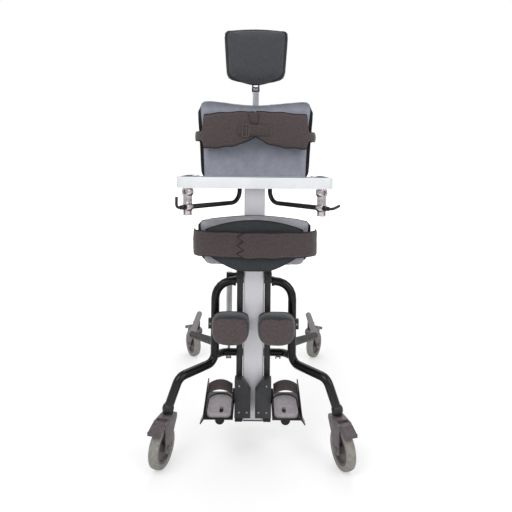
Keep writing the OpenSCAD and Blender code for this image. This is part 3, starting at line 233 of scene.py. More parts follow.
def wovenCloth(s):
    material, tree, shader, place = newMaterial(s["name"], s["sockets"])
    across, upward = "X", "Z"
    if s.get("alongPiece"):
        place = addNode(tree, "ShaderNodeTexCoord").outputs["UV"]
        upward = "Y"
    warp, weft = [addNode(tree, "ShaderNodeTexWave", {
        "bands_direction": direction, "Scale": bandScale(pitch), "Distortion": 0.6, "Detail": 1.0,
        "Detail Scale": 2.0}, {"Vector": place})
        for direction, pitch in ((across, s["thread"]), (upward, s["thread"] * s.get("weftShare", 1.0)))]
    weave = addNode(tree, "ShaderNodeMath", {"operation": "MULTIPLY"},
                    {0: warp.outputs["Fac"], 1: weft.outputs["Fac"]})
    heather = addNode(tree, "ShaderNodeTexNoise", {
        "Scale": patternScale(s["mottle"]), "Detail": 5.0, "Roughness": 0.62}, {"Vector": place})
    blend = addNode(tree, "ShaderNodeMath", {"operation": "MULTIPLY_ADD", 1: s.get("threadTone", 0.45)},
                    {0: weave.outputs[0], 2: heather.outputs["Fac"]})
    tone = addNode(tree, "ShaderNodeMapRange", {"From Min": 0.34, "From Max": 0.86},
                   {"Value": blend.outputs[0]})
    colour = addNode(tree, "ShaderNodeMix", {
        "data_type": "RGBA", 6: linearColour(s["colours"][0]), 7: linearColour(s["colours"][1])},
        {0: tone.outputs["Result"]}).outputs[2]
    if "rim" in s:  # a second colour where the mesh's rim attribute passes one half: a border cloth on the head and knee pads, painted shade on the edges of the chest and hip covers
        share = addNode(tree, "ShaderNodeAttribute", {"attribute_name": "rim"}).outputs["Fac"]
        borderAndShadeShare = addNode(tree, "ShaderNodeMapRange", {"From Min": 0.49, "From Max": 0.51},
                       {"Value": share})
        borderAndShadeColour = addNode(tree, "ShaderNodeMix", {
            "data_type": "RGBA", 6: linearColour(s["rim"][0]), 7: linearColour(s["rim"][1])},
            {0: tone.outputs["Result"]}).outputs[2]
        colour = addNode(tree, "ShaderNodeMix", {"data_type": "RGBA"},
                         {0: borderAndShadeShare.outputs["Result"], 6: colour, 7: borderAndShadeColour}).outputs[2]
    tree.links.new(colour, shader.inputs["Base Color"])
    worn = addNode(tree, "ShaderNodeMapRange", {
        "To Min": s["roughness"][0], "To Max": s["roughness"][1]}, {"Value": heather.outputs["Fac"]})
    tree.links.new(worn.outputs["Result"], shader.inputs["Roughness"])
    threads = addNode(tree, "ShaderNodeBump", {
        "Strength": s["bump"], "Distance": s["thread"] * mm * threadDepth}, {"Height": weave.outputs[0]})
    slack = addNode(tree, "ShaderNodeBump", {"Strength": s.get("slack", 0.15), "Distance": 0.002},
                    {"Height": heather.outputs["Fac"], "Normal": threads.outputs["Normal"]})
    tree.links.new(slack.outputs["Normal"], shader.inputs["Normal"])
    return material


# Powder-coated steel tube: deep gloss with a faint orange peel
blackEnamel = hardSurface({
    "name": "blackEnamelledSteel", "colours": ("#0a090a", "#131112"), "patch": 60, "smudge": 22,
    "roughness": (0.2, 0.32), "grain": 3.0, "bump": 0.05, "edge": "#4a4546", "rub": 0.35,
    "sockets": {"Coat Weight": 0.18, "Coat Roughness": 0.12, "IOR": 1.45, "Specular IOR Level": 0.28}})
# Rear legs: the same coat, duller, with a painted reflection on the level run: a pale colour standing
# for the bright surroundings mirrored in the black tube
rearEnamel = hardSurface({
    "name": "sleevedEnamelledSteel", "colours": ("#141112", "#1e1a1b"), "patch": 60, "smudge": 22,
    "roughness": (0.36, 0.48), "grain": 3.0, "bump": 0.05,
    "sleeve": {"from": 0.24, "to": 0.25, "colour": "#827c80"},
    "sockets": {"IOR": 1.45, "Specular IOR Level": 0.09}})
# Silver-white lacquer on the column: satin, with a fine metallic fleck
silverLacquer = hardSurface({
    "name": "silverLacqueredSteel", "colours": ("#dedce1", "#eeecf1"), "patch": 4.0, "smudge": 60,
    "roughness": (0.32, 0.44), "grain": 1.6, "bump": 0.04,
    "sockets": {"Metallic": 0.12, "Coat Weight": 0.25, "Coat Roughness": 0.3}})
# Moulded ABS with a spark-eroded grain, drawn coarser than life so that it shows
blackMoulding = hardSurface({
    "name": "blackMouldedAbs", "colours": ("#111112", "#1b1b1d"), "patch": 30, "smudge": 16,
    "roughness": (0.42, 0.58), "grain": 1.8, "bump": 0.16, "cells": True, "edge": "#55565a", "rub": 0.4,
    "sockets": {"IOR": 1.54}})
# Glass-filled nylon of the castor forks
greyNylon = hardSurface({
    "name": "greyNylon", "colours": ("#5a5153", "#6f6567"), "patch": 18, "smudge": 12,
    "roughness": (0.36, 0.52), "grain": 1.8, "bump": 0.12, "cells": True, "edge": "#8d8586", "rub": 0.4,
    "sockets": {"IOR": 1.53}})
hubNylon = hardSurface({
    "name": "darkNylonHub", "colours": ("#484042", "#5f5658"), "patch": 14, "smudge": 10,
    "roughness": (0.4, 0.56), "grain": 1.6, "bump": 0.12, "cells": True, "sockets": {"IOR": 1.53}})
# Non-marking thermoplastic rubber: dull, scuffed where it rolls
greyTyre = hardSurface({
    "name": "greyTyreRubber", "colours": ("#7f7c76", "#96938d"), "patch": 9, "smudge": 6,
    "roughness": (0.62, 0.8), "grain": 1.4, "bump": 0.2, "sockets": {"IOR": 1.52}})
# Drawn bright steel: fine lines along the drawing direction
drawnSteel = hardSurface({
    "name": "drawnBrightSteel", "colours": ("#a9adb5", "#c6c9cf"), "patch": 3.0, "smudge": 5.0,
    "roughness": (0.22, 0.36), "grain": 1.2, "bump": 0.06, "stretch": (1.0, 1.0, 0.05),
    "sockets": {"Metallic": 1.0}})
# Chrome-plated zinc of the clamps, with a faint warm cast
platedZinc = hardSurface({
    "name": "chromePlatedZinc", "colours": ("#d2c8ca", "#eae2e4"), "patch": 20, "smudge": 12,
    "roughness": (0.14, 0.26), "grain": 2.0, "bump": 0.05, "sockets": {"Metallic": 1.0}})
# Vacuum-formed white tray: near smooth, slight haircell grain
whiteTray = hardSurface({
    "name": "whiteFormedAbs", "colours": ("#e0e2e3", "#eaecee"), "patch": 90, "smudge": 30,
    "roughness": (0.26, 0.4), "grain": 1.8, "bump": 0.06, "cells": True,
    "sockets": {"IOR": 1.54, "Coat Weight": 0.2}})
# Lacquered gas-spring cylinder
paleLacquer = hardSurface({
    "name": "paleGreyLacquer", "colours": ("#c9c9c7", "#d9d9d7"), "patch": 40, "smudge": 14,
    "roughness": (0.2, 0.32), "grain": 2.2, "bump": 0.04, "sockets": {"Coat Weight": 0.4}})
# Moulded rubber sole with a matt skin
soleRubber = hardSurface({
    "name": "greySoleRubber", "colours": ("#938c91", "#a29ba0"), "patch": 16, "smudge": 9,
    "roughness": (0.5, 0.68), "grain": 2.2, "bump": 0.22, "cells": True, "sockets": {"IOR": 1.5}})
# Dark sheet in the tray's recess: matt, with a pebbled skin
trayRecessSheet = hardSurface({
    "name": "darkRecessSheet", "colours": ("#4a4c4d", "#5c5e5f"), "patch": 40, "smudge": 12,
    "roughness": (0.6, 0.78), "grain": 3.2, "bump": 0.3, "cells": True, "sockets": {"IOR": 1.5}})
# Zinc-plated socket screws
zincScrew = hardSurface({
    "name": "zincPlatedScrew", "colours": ("#8f9296", "#aeb1b5"), "patch": 6, "smudge": 4,
    "roughness": (0.25, 0.4), "grain": 1.5, "bump": 0.05, "sockets": {"Metallic": 1.0}})
# Knitted spacer fabric on the head pad; threads are drawn coarser than life so that they show
headKnit = wovenCloth({
    "name": "darkKnit", "colours": ("#3b3c40", "#484a4e"), "rim": ("#1c1c20", "#26262b"), "thread": 3.0,
    "mottle": 9, "bump": 0.3, "roughness": (0.8, 0.95),
    "sockets": {"Sheen Weight": 0.25, "Sheen Roughness": 0.5, "Specular IOR Level": 0.25}})
# Polyurethane-coated stretch cover: soft satin with a very fine rib; its darker rim colours are painted
# shade on the rolled edges
chestCover = wovenCloth({
    "name": "blueGreyCoatedCover", "colours": ("#7d808c", "#9598a4"), "rim": ("#4a4d56", "#5e616b"),
    "thread": 2.4, "mottle": 26, "bump": 0.18, "threadTone": 0.3, "roughness": (0.5, 0.66),
    "sockets": {"Sheen Weight": 0.2, "Sheen Roughness": 0.4}})
hipCover = wovenCloth({
    "name": "paleGreyCoatedCover", "colours": ("#93929b", "#acabb3"), "rim": ("#606067", "#77777f"),
    "thread": 2.4, "mottle": 24, "bump": 0.18, "threadTone": 0.3, "roughness": (0.5, 0.66),
    "sockets": {"Sheen Weight": 0.2, "Sheen Roughness": 0.4}})
# Brushed loop pile of the belts and knee pads: brown-grey heather
beltPile = wovenCloth({
    "name": "brownGreyPile", "colours": ("#413839", "#574d4e"), "thread": 3.2, "mottle": 7, "bump": 0.4,
    "slack": 0.35, "roughness": (0.85, 0.98), "alongPiece": True,
    "sockets": {"Sheen Weight": 0.35, "Specular IOR Level": 0.2}})
kneePile = wovenCloth({
    "name": "kneePadPile", "colours": ("#463d3e", "#5c5253"), "rim": ("#2b2f31", "#383d40"),
    "thread": 3.2, "mottle": 8, "bump": 0.4, "slack": 0.35, "roughness": (0.85, 0.98),
    "sockets": {"Sheen Weight": 0.35, "Specular IOR Level": 0.2}})
bindingTape = wovenCloth({
    "name": "darkBindingTape", "colours": ("#211b1d", "#332b2d"), "thread": 2.0, "mottle": 8,
    "bump": 0.35, "roughness": (0.75, 0.9), "sockets": {"Specular IOR Level": 0.3}})
liningCloth = wovenCloth({
    "name": "slateLiningCloth", "colours": ("#25282a", "#363b3e"), "thread": 3.0, "mottle": 12,
    "bump": 0.3, "weftShare": 0.6, "roughness": (0.78, 0.92), "alongPiece": True,
    "sockets": {"Sheen Weight": 0.15}})
# Nylon webbing: a coarse rib across the strap
webbing = wovenCloth({
    "name": "brownWebbing", "colours": ("#342c2b", "#544948"), "thread": 2.4, "mottle": 8, "bump": 0.5,
    "weftShare": 2.0, "roughness": (0.6, 0.8), "alongPiece": True,
    "sockets": {"Specular IOR Level": 0.35}})
stitchThread = wovenCloth({
    "name": "greyStitchThread", "colours": ("#57504f", "#7b7473"), "thread": 1.2, "mottle": 4,
    "bump": 0.3, "roughness": (0.6, 0.8), "sockets": {}})
print("materials made")


# CAD nodes keep their meshes; modifiers weld them, round their edges and shade them by angle
edgeSet = {"smoothDegrees": 34, "roundedDegrees": 38, "roundedSteps": 2}


def shadingGroup(limitDegrees):
    group = bpy.data.node_groups.new("shadeByAngle", "GeometryNodeTree")
    for direction in ("INPUT", "OUTPUT"):
        group.interface.new_socket("Geometry", in_out=direction, socket_type="NodeSocketGeometry")
    start = addNode(group, "NodeGroupInput")
    faces = addNode(group, "GeometryNodeSetShadeSmooth", {"domain": "FACE"}, {0: start.outputs[0]})
    angle = addNode(group, "GeometryNodeInputMeshEdgeAngle")
    gentle = addNode(group, "FunctionNodeCompare", {
        "data_type": "FLOAT", "operation": "LESS_EQUAL", 1: math.radians(limitDegrees)},
        {0: angle.outputs[0]})
    edges = addNode(group, "GeometryNodeSetShadeSmooth", {"domain": "EDGE"},
                    {0: faces.outputs[0], 2: gentle.outputs[0]})
    addNode(group, "NodeGroupOutput", links={0: edges.outputs[0]})
    return group


byAngle = shadingGroup(edgeSet["smoothDegrees"])
corners = ["front_left", "front_right", "rear_left", "rear_right"]
sides = {"left": -1, "right": 1}

# Material, rounding of the edges in millimetres, and the names of the nodes that have them
finishSet = [
    (blackEnamel, 0.0, ["side_frame_left", "side_frame_right", "cross_tube", "guide_rails"]),
    (rearEnamel, 0.0, ["rear_legs"]),
    (blackEnamel, 0.8, ["hinge_bosses", "rail_brackets", "tray_arms", "knee_arm_left", "knee_arm_right",
                        "foot_plate_left", "foot_plate_right"]),
    (blackMoulding, 0.9, ["castor_sockets", "column_caps", "chest_carriage", "hip_carriage",
                          "tray_lever_left", "tray_lever_right", "foot_bracket_left",
                          "foot_bracket_right"]),
    (blackMoulding, 0.0, ["head_shell", "chest_shell", "hip_shell", "knee_shell_left",
                          "knee_shell_right"]),
    (greyTyre, 0.6, ["tube_caps"] + ["tyre_" + c for c in corners]),
    (greyNylon, 1.0, ["fork_" + c for c in corners]),
    (hubNylon, 0.8, ["hub_" + c for c in corners] + ["pedal_" + c for c in corners]),
    (silverLacquer, 0.6, ["column"]),
    (drawnSteel, 0.5, ["tilt_axle", "gas_rod", "head_post"]),
    (platedZinc, 0.8, ["tray_clamps"]),
    (whiteTray, 4.0, ["tray_top"]),
    (paleLacquer, 0.6, ["gas_cylinder"]),
    (soleRubber, 1.2, ["foot_sole_left", "foot_sole_right"]),
]


def addShading(piece):
    shade = piece.modifiers.new("shading", "NODES")
    shade.node_group = byAngle


def finishNode(name, material, edgeMm):
    piece = nodes[name]
    piece.data.materials.clear()
    piece.data.materials.append(material)
    weld = piece.modifiers.new("weld", "WELD")
    weld.merge_threshold = weldGap
    if edgeMm:
        edge = piece.modifiers.new("roundedEdge", "BEVEL")
        edge.width = edgeMm * mm
        edge.segments = edgeSet["roundedSteps"]
        edge.limit_method = "ANGLE"
        edge.angle_limit = math.radians(edgeSet["roundedDegrees"])
    addShading(piece)


for material, edgeMm, names in finishSet:
    for nodeName in names:
        finishNode(nodeName, material, edgeMm)
print("CAD nodes finished")


# Soft pieces
def settle(name, mesh, material, body):
    piece = link(bpy.data.objects.new(name, mesh))
    piece.data.materials.append(material)
    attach(piece, body)
    return piece


def bakedMesh(piece):
    depsgraph = bpy.context.evaluated_depsgraph_get()
    return bpy.data.meshes.new_from_object(piece.evaluated_get(depsgraph))


def tubeMesh(name, runs, radius, closed=False, rounds=2):
    curve = bpy.data.curves.new(name, "CURVE")
    curve.dimensions = "3D"
    curve.bevel_depth = radius
    curve.bevel_resolution = rounds
    curve.use_fill_caps = True
    for points in runs:
        spline = curve.splines.new("POLY")
        spline.points.add(len(points) - 1)
        for knot, place in zip(spline.points, points):
            knot.co = (*place, 1.0)
        spline.use_cyclic_u = closed
    holder = link(bpy.data.objects.new(name, curve))
    mesh = bakedMesh(holder)
    bpy.data.objects.remove(holder)
    mesh.materials.clear()
    mesh.shade_smooth()
    return mesh


def addFineness(piece):
    finer = piece.modifiers.new("finer", "SUBSURF")
    finer.levels = finer.render_levels = 1


# Pad outlines, in millimetres, with the same rule as the solids that the pads stand for
headPad = {
    "middle": 0, "top": 226, "foot": 203, "low": 1251, "tall": 169, "round": 12, "topWave": 5,
    "reach": 1, "footWave": 20, "waist": 0, "corner": 14, "bow": 20}
chestPad = {
    "middle": 0, "top": 384, "foot": 346, "low": 884, "tall": 286, "round": 9, "topWave": -13,
    "reach": 0.7, "footWave": 0, "waist": 3, "corner": 14, "bow": 0}
hipPad = {
    "middle": 0, "top": 378, "foot": 336, "low": 612, "tall": 158, "round": 8, "topWave": 12,
    "reach": 1, "footWave": 4, "waist": 0, "corner": 11, "bow": 0}
ringPoints = 44  # on each ring of a pad's solid


def signedPower(value, exponent):
    return math.copysign(abs(value) ** exponent, value)


def wave(size, reach, u):
    return size * math.cos(math.pi / 2 * min(1, abs(u) / reach)) ** 2


# What turns a bell-shaped lower edge into a bow, as a share of the bow's depth
def bowFill(u):
    return max(0.0, 1 - u * u - wave(1, 1, u))


# Shares of the pad's half width and half height, without its edges' waves, and the half width there
def padPlace(p, x, z):
    v = (z - p["low"]) / p["tall"] * 2 - 1
    half = (p["foot"] + (p["top"] - p["foot"]) * (v + 1) / 2) / 2 - p["waist"] * (1 - v * v)
    u = (x - p["middle"]) / half
    if v > 0:
        rise = wave(p["topWave"], p["reach"], u)
    else:
        rise = -wave(p["footWave"], 1, u) - p["bow"] * bowFill(u)
    return u, v - 2 * rise * v * v / p["tall"], half


# How far a point lies from the pad's middle towards its outline, which is 1
def padShare(p, x, z):
    u, v = padPlace(p, x, z)[:2]
    return (abs(u) ** p["round"] + abs(v) ** p["round"]) ** (1 / p["round"])


def cornerReach(angle, roundness):
    return (abs(math.cos(angle)) ** roundness + abs(math.sin(angle)) ** roundness) ** (-1 / roundness)


# The solid's rings cut each corner straight; the cover rounds it, and fills out a bowed lower edge
def roundCorners(mesh, p):
    step = 2 * math.pi / ringPoints
    solid = {**p, "bow": 0}
    for vert in mesh.vertices:
        u, v, half = padPlace(solid, vert.co.x / mm, vert.co.z / mm)
        angle = math.atan2(v, u)
        first = (math.floor(angle / step - 0.5) + 0.5) * step
        a, b = [Vector((math.cos(k), math.sin(k))) * cornerReach(k, p["round"])
                for k in (first, first + step)]
        edge = b - a
        reach = (a.x * b.y - a.y * b.x) / (math.cos(angle) * edge.y - math.sin(angle) * edge.x)
        share = min(1.0, math.hypot(u, v) / reach)
        grow = (cornerReach(angle, p["corner"]) / reach - 1) * share ** 4
        bow = p["bow"] * bowFill(u) * min(0.0, v) ** 2
        vert.co.x += u * grow * half * mm
        vert.co.z += (v * grow * p["tall"] / 2 - bow) * mm


clothSet = {
    "quality": 4, "mass": 0.3, "tension_stiffness": 12, "compression_stiffness": 12,
    "shear_stiffness": 4, "bending_stiffness": 0.4, "use_pressure": True}
clothFrames = 20


def inflate(piece, s):
    scene = bpy.context.scene
    rest = [v.co.copy() for v in piece.data.vertices]
    backY = max(co.y for co in rest)
    hold = piece.vertex_groups.new(name="hold")
    hold.add([i for i, co in enumerate(rest) if co.y > backY - s["held"] * mm], 1.0, "REPLACE")
    cloth = piece.modifiers.new("cloth", "CLOTH")
    for key, value in clothSet.items():
        setattr(cloth.settings, key, value)
    cloth.settings.uniform_pressure_force = s["pressure"]
    cloth.settings.effector_weights.gravity = 0
    cloth.settings.vertex_group_mass = "hold"
    cloth.collision_settings.use_collision = False
    cloth.point_cache.frame_start = 1
    cloth.point_cache.frame_end = clothFrames
    for step in range(1, clothFrames + 1):
        scene.frame_set(step)
    swollen = bakedMesh(piece)
    for vert, start in zip(swollen.vertices, rest):
        move = vert.co - start
        if move.length > s["cap"] * mm:
            vert.co = start + move * (s["cap"] * mm / move.length)
    piece.modifiers.clear()
    piece.vertex_groups.clear()
    piece.data = swollen
    scene.frame_set(1)


# A pad starts from its solid, is remeshed, drawn in and blown up as cloth, then gets seams and covers
def stuffPad(name, s):
    mesh = nodes[s["node"]].data.copy()
    bm = bmesh.new()
    bm.from_mesh(mesh)
    bmesh.ops.remove_doubles(bm, verts=bm.verts[:], dist=weldGap)
    bm.to_mesh(mesh)
    bm.free()
    piece = link(bpy.data.objects.new(name, mesh))
    remesh = piece.modifiers.new("remesh", "REMESH")
    remesh.mode = "VOXEL"
    remesh.voxel_size = s["voxel"] * mm
    fine = bakedMesh(piece)
    piece.modifiers.clear()
    piece.data = fine
    if "outline" in s:
        roundCorners(fine, s["outline"])
    for vert, normal in [(v, v.normal.copy()) for v in fine.vertices]:
        vert.co -= normal * s["shrink"] * mm
    inflate(piece, s)
    mesh = piece.data
    normals = [v.normal.copy() for v in mesh.vertices]
    for vert, normal in zip(mesh.vertices, normals):
        vert.co += normal * s["shape"](vert.co, normal) * mm
    mesh.materials.clear()
    mesh.materials.append(s["cover"])
    rim = mesh.attributes.new("rim", "FLOAT", "POINT")
    for mark, vert in zip(rim.data, mesh.vertices):
        mark.value = min(1.0, max(0.0, 0.5 + s["rim"](vert.co, vert.normal)))
    mesh.shade_smooth()
    addFineness(piece)
    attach(piece, s["body"])
    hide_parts(s["node"])
    print("pad stuffed:", name, len(mesh.vertices), "vertices")


# Seams and slack of the covers, in millimetres; the head pad's piping lies at a share of the way out
headPiping = {"share": 0.9, "spread": 0.022, "depth": 2.2}
chestFold = {"height": 1010, "spread": 12, "depth": 1.4, "length": 46}  # slack under the belt
chestRoll = {"height": 1146, "spread": 6, "depth": 1.6}  # seam under the rolled top edge
kneeSeams = {"middle": 402, "heights": (-25, 24), "spread": 3.0, "depth": 1.8}


def ripple(co, sizeMm, amount):
    return amount * noise.noise(Vector(co) * (1000 / sizeMm))


def ridge(value, place, spread):
    return math.exp(-((value - place) / spread) ** 2)


def headShape(co, normal):
    share = padShare(headPad, co.x / mm, co.z / mm)
    front = max(0.0, -normal.y)
    groove = headPiping["depth"] * front * ridge(share, headPiping["share"], headPiping["spread"])
    return ripple(co, 70, 0.6) - groove


def chestShape(co, normal):
    front = max(0.0, -normal.y)
    z = co.z / mm
    fold = chestFold["depth"] * ridge(z, chestFold["height"], chestFold["spread"])
    fold *= math.sin(co.x / mm / chestFold["length"])
    roll = -chestRoll["depth"] * front * ridge(z, chestRoll["height"], chestRoll["spread"])
    return ripple(co, 90, 1.0) + front * fold + roll


def hipShape(co, normal):
    return ripple(co, 80, 0.9)


def kneeShape(co, normal):
    front = max(0.0, -normal.y)
    z = co.z / mm - kneeSeams["middle"]
    seams = sum(ridge(z, place, kneeSeams["spread"]) for place in kneeSeams["heights"])
    return ripple(co, 45, 0.9) - kneeSeams["depth"] * front * seams


# Where a pad's second cloth begins: above 0 is rim
def headRim(co, normal):
    share = padShare(headPad, co.x / mm, co.z / mm)
    return max((share - headPiping["share"]) * 4, normal.y + 0.3)


# Painted shade: the coated covers are drawn darker towards their edges and rolled top, and on faces
# turning away from the front; start is the middle of that change
def paintedEdgeShade(p, start, spread):
    def at(co, normal):
        u, v = padPlace(p, co.x / mm, co.z / mm)[:2]
        return max((abs(v) - start) * 0.01 / spread, (abs(u) - 0.975) * 0.4, normal.y + 0.1)
    return at


def kneeRim(side):
    return lambda co, normal: max(normal.z - 0.5, -normal.x * side - 0.6, normal.y - 0.2)


padSet = {
    "headPadCover": {
        "node": "head_cushion", "body": "head_pad", "slot": "head_cover", "voxel": 4.5, "shrink": 1.2,
        "pressure": 4.0, "held": 6, "cap": 3.5, "fill": 0.85, "shape": headShape, "cover": headKnit,
        "rim": headRim, "outline": headPad},
    "chestPadCover": {
        "node": "chest_cushion", "body": "chest", "slot": "chest_cover", "voxel": 5.5, "shrink": 1.5,
        "pressure": 4.0, "held": 10, "cap": 3.5, "fill": 0.85, "shape": chestShape, "cover": chestCover,
        "rim": paintedEdgeShade(chestPad, 0.87, 0.11), "outline": chestPad},
    "hipPadCover": {
        "node": "hip_cushion", "body": "hip", "slot": "hip_cover", "voxel": 5.5, "shrink": 1.5,
        "pressure": 4.0, "held": 10, "cap": 3.5, "fill": 0.85, "shape": hipShape, "cover": hipCover,
        "rim": paintedEdgeShade(hipPad, 0.93, 0.06), "outline": hipPad},
}
for sideName, side in sides.items():
    padSet["kneePad" + sideName.capitalize()] = {
        "node": "knee_pad_" + sideName, "body": "knee_" + sideName, "slot": "knee_cover", "voxel": 4.0,
        "shrink": 2.0, "pressure": 4.0, "held": 8, "cap": 6, "fill": 0.8, "shape": kneeShape,
        "cover": kneePile, "rim": kneeRim(side)}
for name, s in padSet.items():
    stuffPad(name, s)


# A place in millimetres: across, ahead of the tilt axle and above the floor
def framePoint(x, forward, z):
    return Vector((x * mm, axleY - forward * mm, z * mm))


# Belts and straps: panels laid along a path, with soft edges, a binding and stitches
def bowPath(b):
    def at(t):
        angle = math.pi / 2 * t * abs(t)
        s, c = abs(math.sin(angle)), max(0.0, math.cos(angle))
        x = math.copysign(b["half"] * math.sqrt(s), t)
        forward = b["side"] + b["bow"] * math.sqrt(c)
        out = Vector((math.copysign(s ** 1.5, t) / b["half"], -c ** 1.5 / b["bow"], 0)).normalized()
        return framePoint(x, forward, b["height"]), out, x
    return at


def bowShare(b, x):
    return math.copysign(math.sqrt(math.asin(min(1.0, (x / b["half"]) ** 2)) / (math.pi / 2)), x)


# Sloping arch over the instep; the strap's width runs back and up
def instepPath(s):
    def at(t):
        along = Vector((s["side"] * s["span"] / 2, 0, -2 * s["rise"] * t)).normalized()
        x = s["side"] * (s["middle"] + s["span"] / 2 * t)
        out = along.cross(s["across"]) * s["side"]
        return framePoint(x, s["forward"], s["height"] + s["rise"] * (1 - t * t)), out, t * s["span"] / 2
    return at


# Upright loop round the heel: two straight legs and a half circle
def heelPath(s):
    total = 2 * s["leg"] + math.pi * s["radius"]

    def at(t):
        run = (t + 1) / 2 * total
        angle = min(math.pi, max(0.0, (run - s["leg"]) / s["radius"]))
        ahead = max(0.0, s["leg"] - run, run - total + s["leg"])
        out = Vector((math.cos(angle) * s["side"], math.sin(angle), 0))
        centre = framePoint(s["side"] * s["middle"], s["forward"] + ahead, s["height"])
        return centre + out * s["radius"] * mm, out, run
    return at


# Thickness left at a panel's edge and behind its path, the size of its creases, teeth of a cut end
panelSet = {"edgeShare": 0.3, "backShare": 0.6, "creaseLong": 34, "creaseHigh": 22, "teeth": 3}
# Where a stitch starts and ends, as shares of the pitch, and its millimetres above the cloth
stitchSet = {"from": 0.15, "to": 0.75, "proud": 0.3}


def panelShare(s, u):
    return s["start"] + (s["end"] - s["start"]) * (u + 1) / 2


def panelPoint(s, u, w, outer):
    t = panelShare(s, u)
    if "teeth" in s:
        tooth = abs(((w + 1) / 2 * panelSet["teeth"]) % 1 - 0.5) * 2 - 0.5
        t += s["teeth"] * (1 - (u + 1) / 2) * tooth
    base, out, run = s["path"](t)
    low, high = s["edges"](run)
    offset = low + (high - low) * (w + 1) / 2
    thin = panelSet["edgeShare"]
    soft = thin + (1 - thin) * (1 - abs(w) ** 4) * (1 - abs(u) ** 12)
    depth = s["lift"] + (s["half"] * soft if outer else -s["half"] * panelSet["backShare"])
    if outer:
        crease = Vector((run / panelSet["creaseLong"], offset / panelSet["creaseHigh"], s["seed"]))
        depth += s["crease"] * noise.noise(crease)
    return base + s["across"] * offset * mm + out * depth * mm, offset


# Lengths along the panel's middle line, so that the weave doesn't stretch round the sides
def panelLengths(s):
    shares = [s["start"] + (s["end"] - s["start"]) * k / s["along"] for k in range(s["along"] + 1)]
    places = [s["path"](share)[0] for share in shares]
    lengths = [0.0]
    for a, b in zip(places, places[1:]):
        lengths.append(lengths[-1] + (b - a).length)
    return lengths


def panelMesh(name, s):
    lengths = panelLengths(s)
    bm = bmesh.new()
    bmesh.ops.create_grid(bm, x_segments=s["along"], y_segments=s["up"], size=1.0)
    for item in bmesh.ops.extrude_face_region(bm, geom=bm.faces[:])["geom"]:
        if isinstance(item, bmesh.types.BMVert):
            item.co.z = 1.0
    weave = bm.loops.layers.uv.new("weave")
    for face in bm.faces:
        for loop in face.loops:
            co = loop.vert.co
            offset = panelPoint(s, co.x, co.y, co.z > 0.5)[1]
            loop[weave].uv = (lengths[round((co.x + 1) / 2 * s["along"])], offset * mm)
    for vert in bm.verts:
        vert.co = panelPoint(s, vert.co.x, vert.co.y, vert.co.z > 0.5)[0]
    bmesh.ops.recalc_face_normals(bm, faces=bm.faces[:])
    mesh = meshFrom(bm, name)
    mesh.shade_smooth()
    return mesh


def layPanel(name, s):
    piece = settle(name, panelMesh(name, s), s["cloth"], s["body"])
    addFineness(piece)
    return piece


# Binding tape: a closed loop along a panel's rim, midway between its two faces
def bindPanel(name, s, share, steps, radius):
    turns = [(-share, -share), (share, -share), (share, share), (-share, share)]
    rim = []
    for (u0, w0), (u1, w1) in zip(turns, turns[1:] + turns[:1]):
        count = steps if abs(u1 - u0) > 0.1 else max(6, steps // 4)
        for k in range(count):
            u, w = u0 + (u1 - u0) * k / count, w0 + (w1 - w0) * k / count
            outer = panelPoint(s, u, w, True)[0]
            inner = panelPoint(s, u, w, False)[0]
            rim.append((outer + inner) / 2)
    mesh = tubeMesh(name + "Binding", [rim], radius * mm, closed=True)
    settle(name + "Binding", mesh, bindingTape, s["body"])


# Row of stitches, each a short thread that stands just proud of the cloth
def stitchRow(name, s, wPlace, pitch, thread, inset=0.97):
    runs = []
    steps = int(s["stitchLength"] / pitch)
    for k in range(steps):
        u0 = -inset + 2 * inset * (k + stitchSet["from"]) / steps
        u1 = -inset + 2 * inset * (k + stitchSet["to"]) / steps
        a, b = panelPoint(s, u0, wPlace, True), panelPoint(s, u1, wPlace, True)
        out = s["path"](panelShare(s, u0))[1] * stitchSet["proud"] * mm
        runs.append([a[0] + out, b[0] + out])
    settle(name, tubeMesh(name, runs, thread * mm, rounds=0), stitchThread, s["body"])


up = Vector((0, 0, 1))
chestBow = {"half": 198.96, "side": 64, "bow": 82, "height": 1064}
hipBow = {"half": 203, "side": 54, "bow": 82, "height": 693}


# Settings of a panel that lies on a bow between two places across it
def onBow(bow, first, last, settings):
    start, end = bowShare(bow, first), bowShare(bow, last)
    return {"start": start, "end": end, "path": bowPath(bow), "across": up, **settings}


def easeStep(value):
    value = min(1.0, max(0.0, value))
    return value * value * (3 - 2 * value)


# Edges of the chest belt: tabs at its ends, a crown above and a notch under its middle
chestCut = {
    "tabFrom": 166, "tabEase": 9, "tabLow": -32, "tabTop": -4, "top": 53.5, "crown": 8, "crownHalf": 150,
    "low": -57.5, "notch": 37, "notchHalf": 52}


def chestEdges(x):
    c = chestCut
    away = abs(x)
    ends = easeStep((away - c["tabFrom"]) / c["tabEase"])
    top = c["top"] + c["crown"] * (1 - min(1.0, away / c["crownHalf"]) ** 2) + 1.2 * math.sin(x / 11)
    low = c["low"] + c["notch"] * math.exp(-(away / c["notchHalf"]) ** 1.2) + 1.4 * math.sin(x / 9)
    return low + (c["tabLow"] - low) * ends, top + (c["tabTop"] - top) * ends


chestBeltSet = {
    "chestBeltLeft": {"from": -198.9, "to": -3.0, "seed": 1.0, "lift": 0.0},
    "chestBeltRight": {"from": 3.0, "to": 198.9, "seed": 5.0, "lift": 0.6},
}
for name, part in chestBeltSet.items():
    part = onBow(chestBow, part["from"], part["to"], {
        **part, "edges": chestEdges, "half": 5.0, "crease": 1.6, "along": 60, "up": 14,
        "cloth": beltPile, "body": "chest", "stitchLength": 190})
    layPanel(name, part)
    bindPanel(name, part, share=1.0, steps=90, radius=2.3)
    for row, wPlace in (("Upper", 0.84), ("Lower", -0.84)):
        stitchRow(name + row + "Stitch", part, wPlace, pitch=6.0, thread=0.55, inset=0.86)
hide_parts("chest_belt")

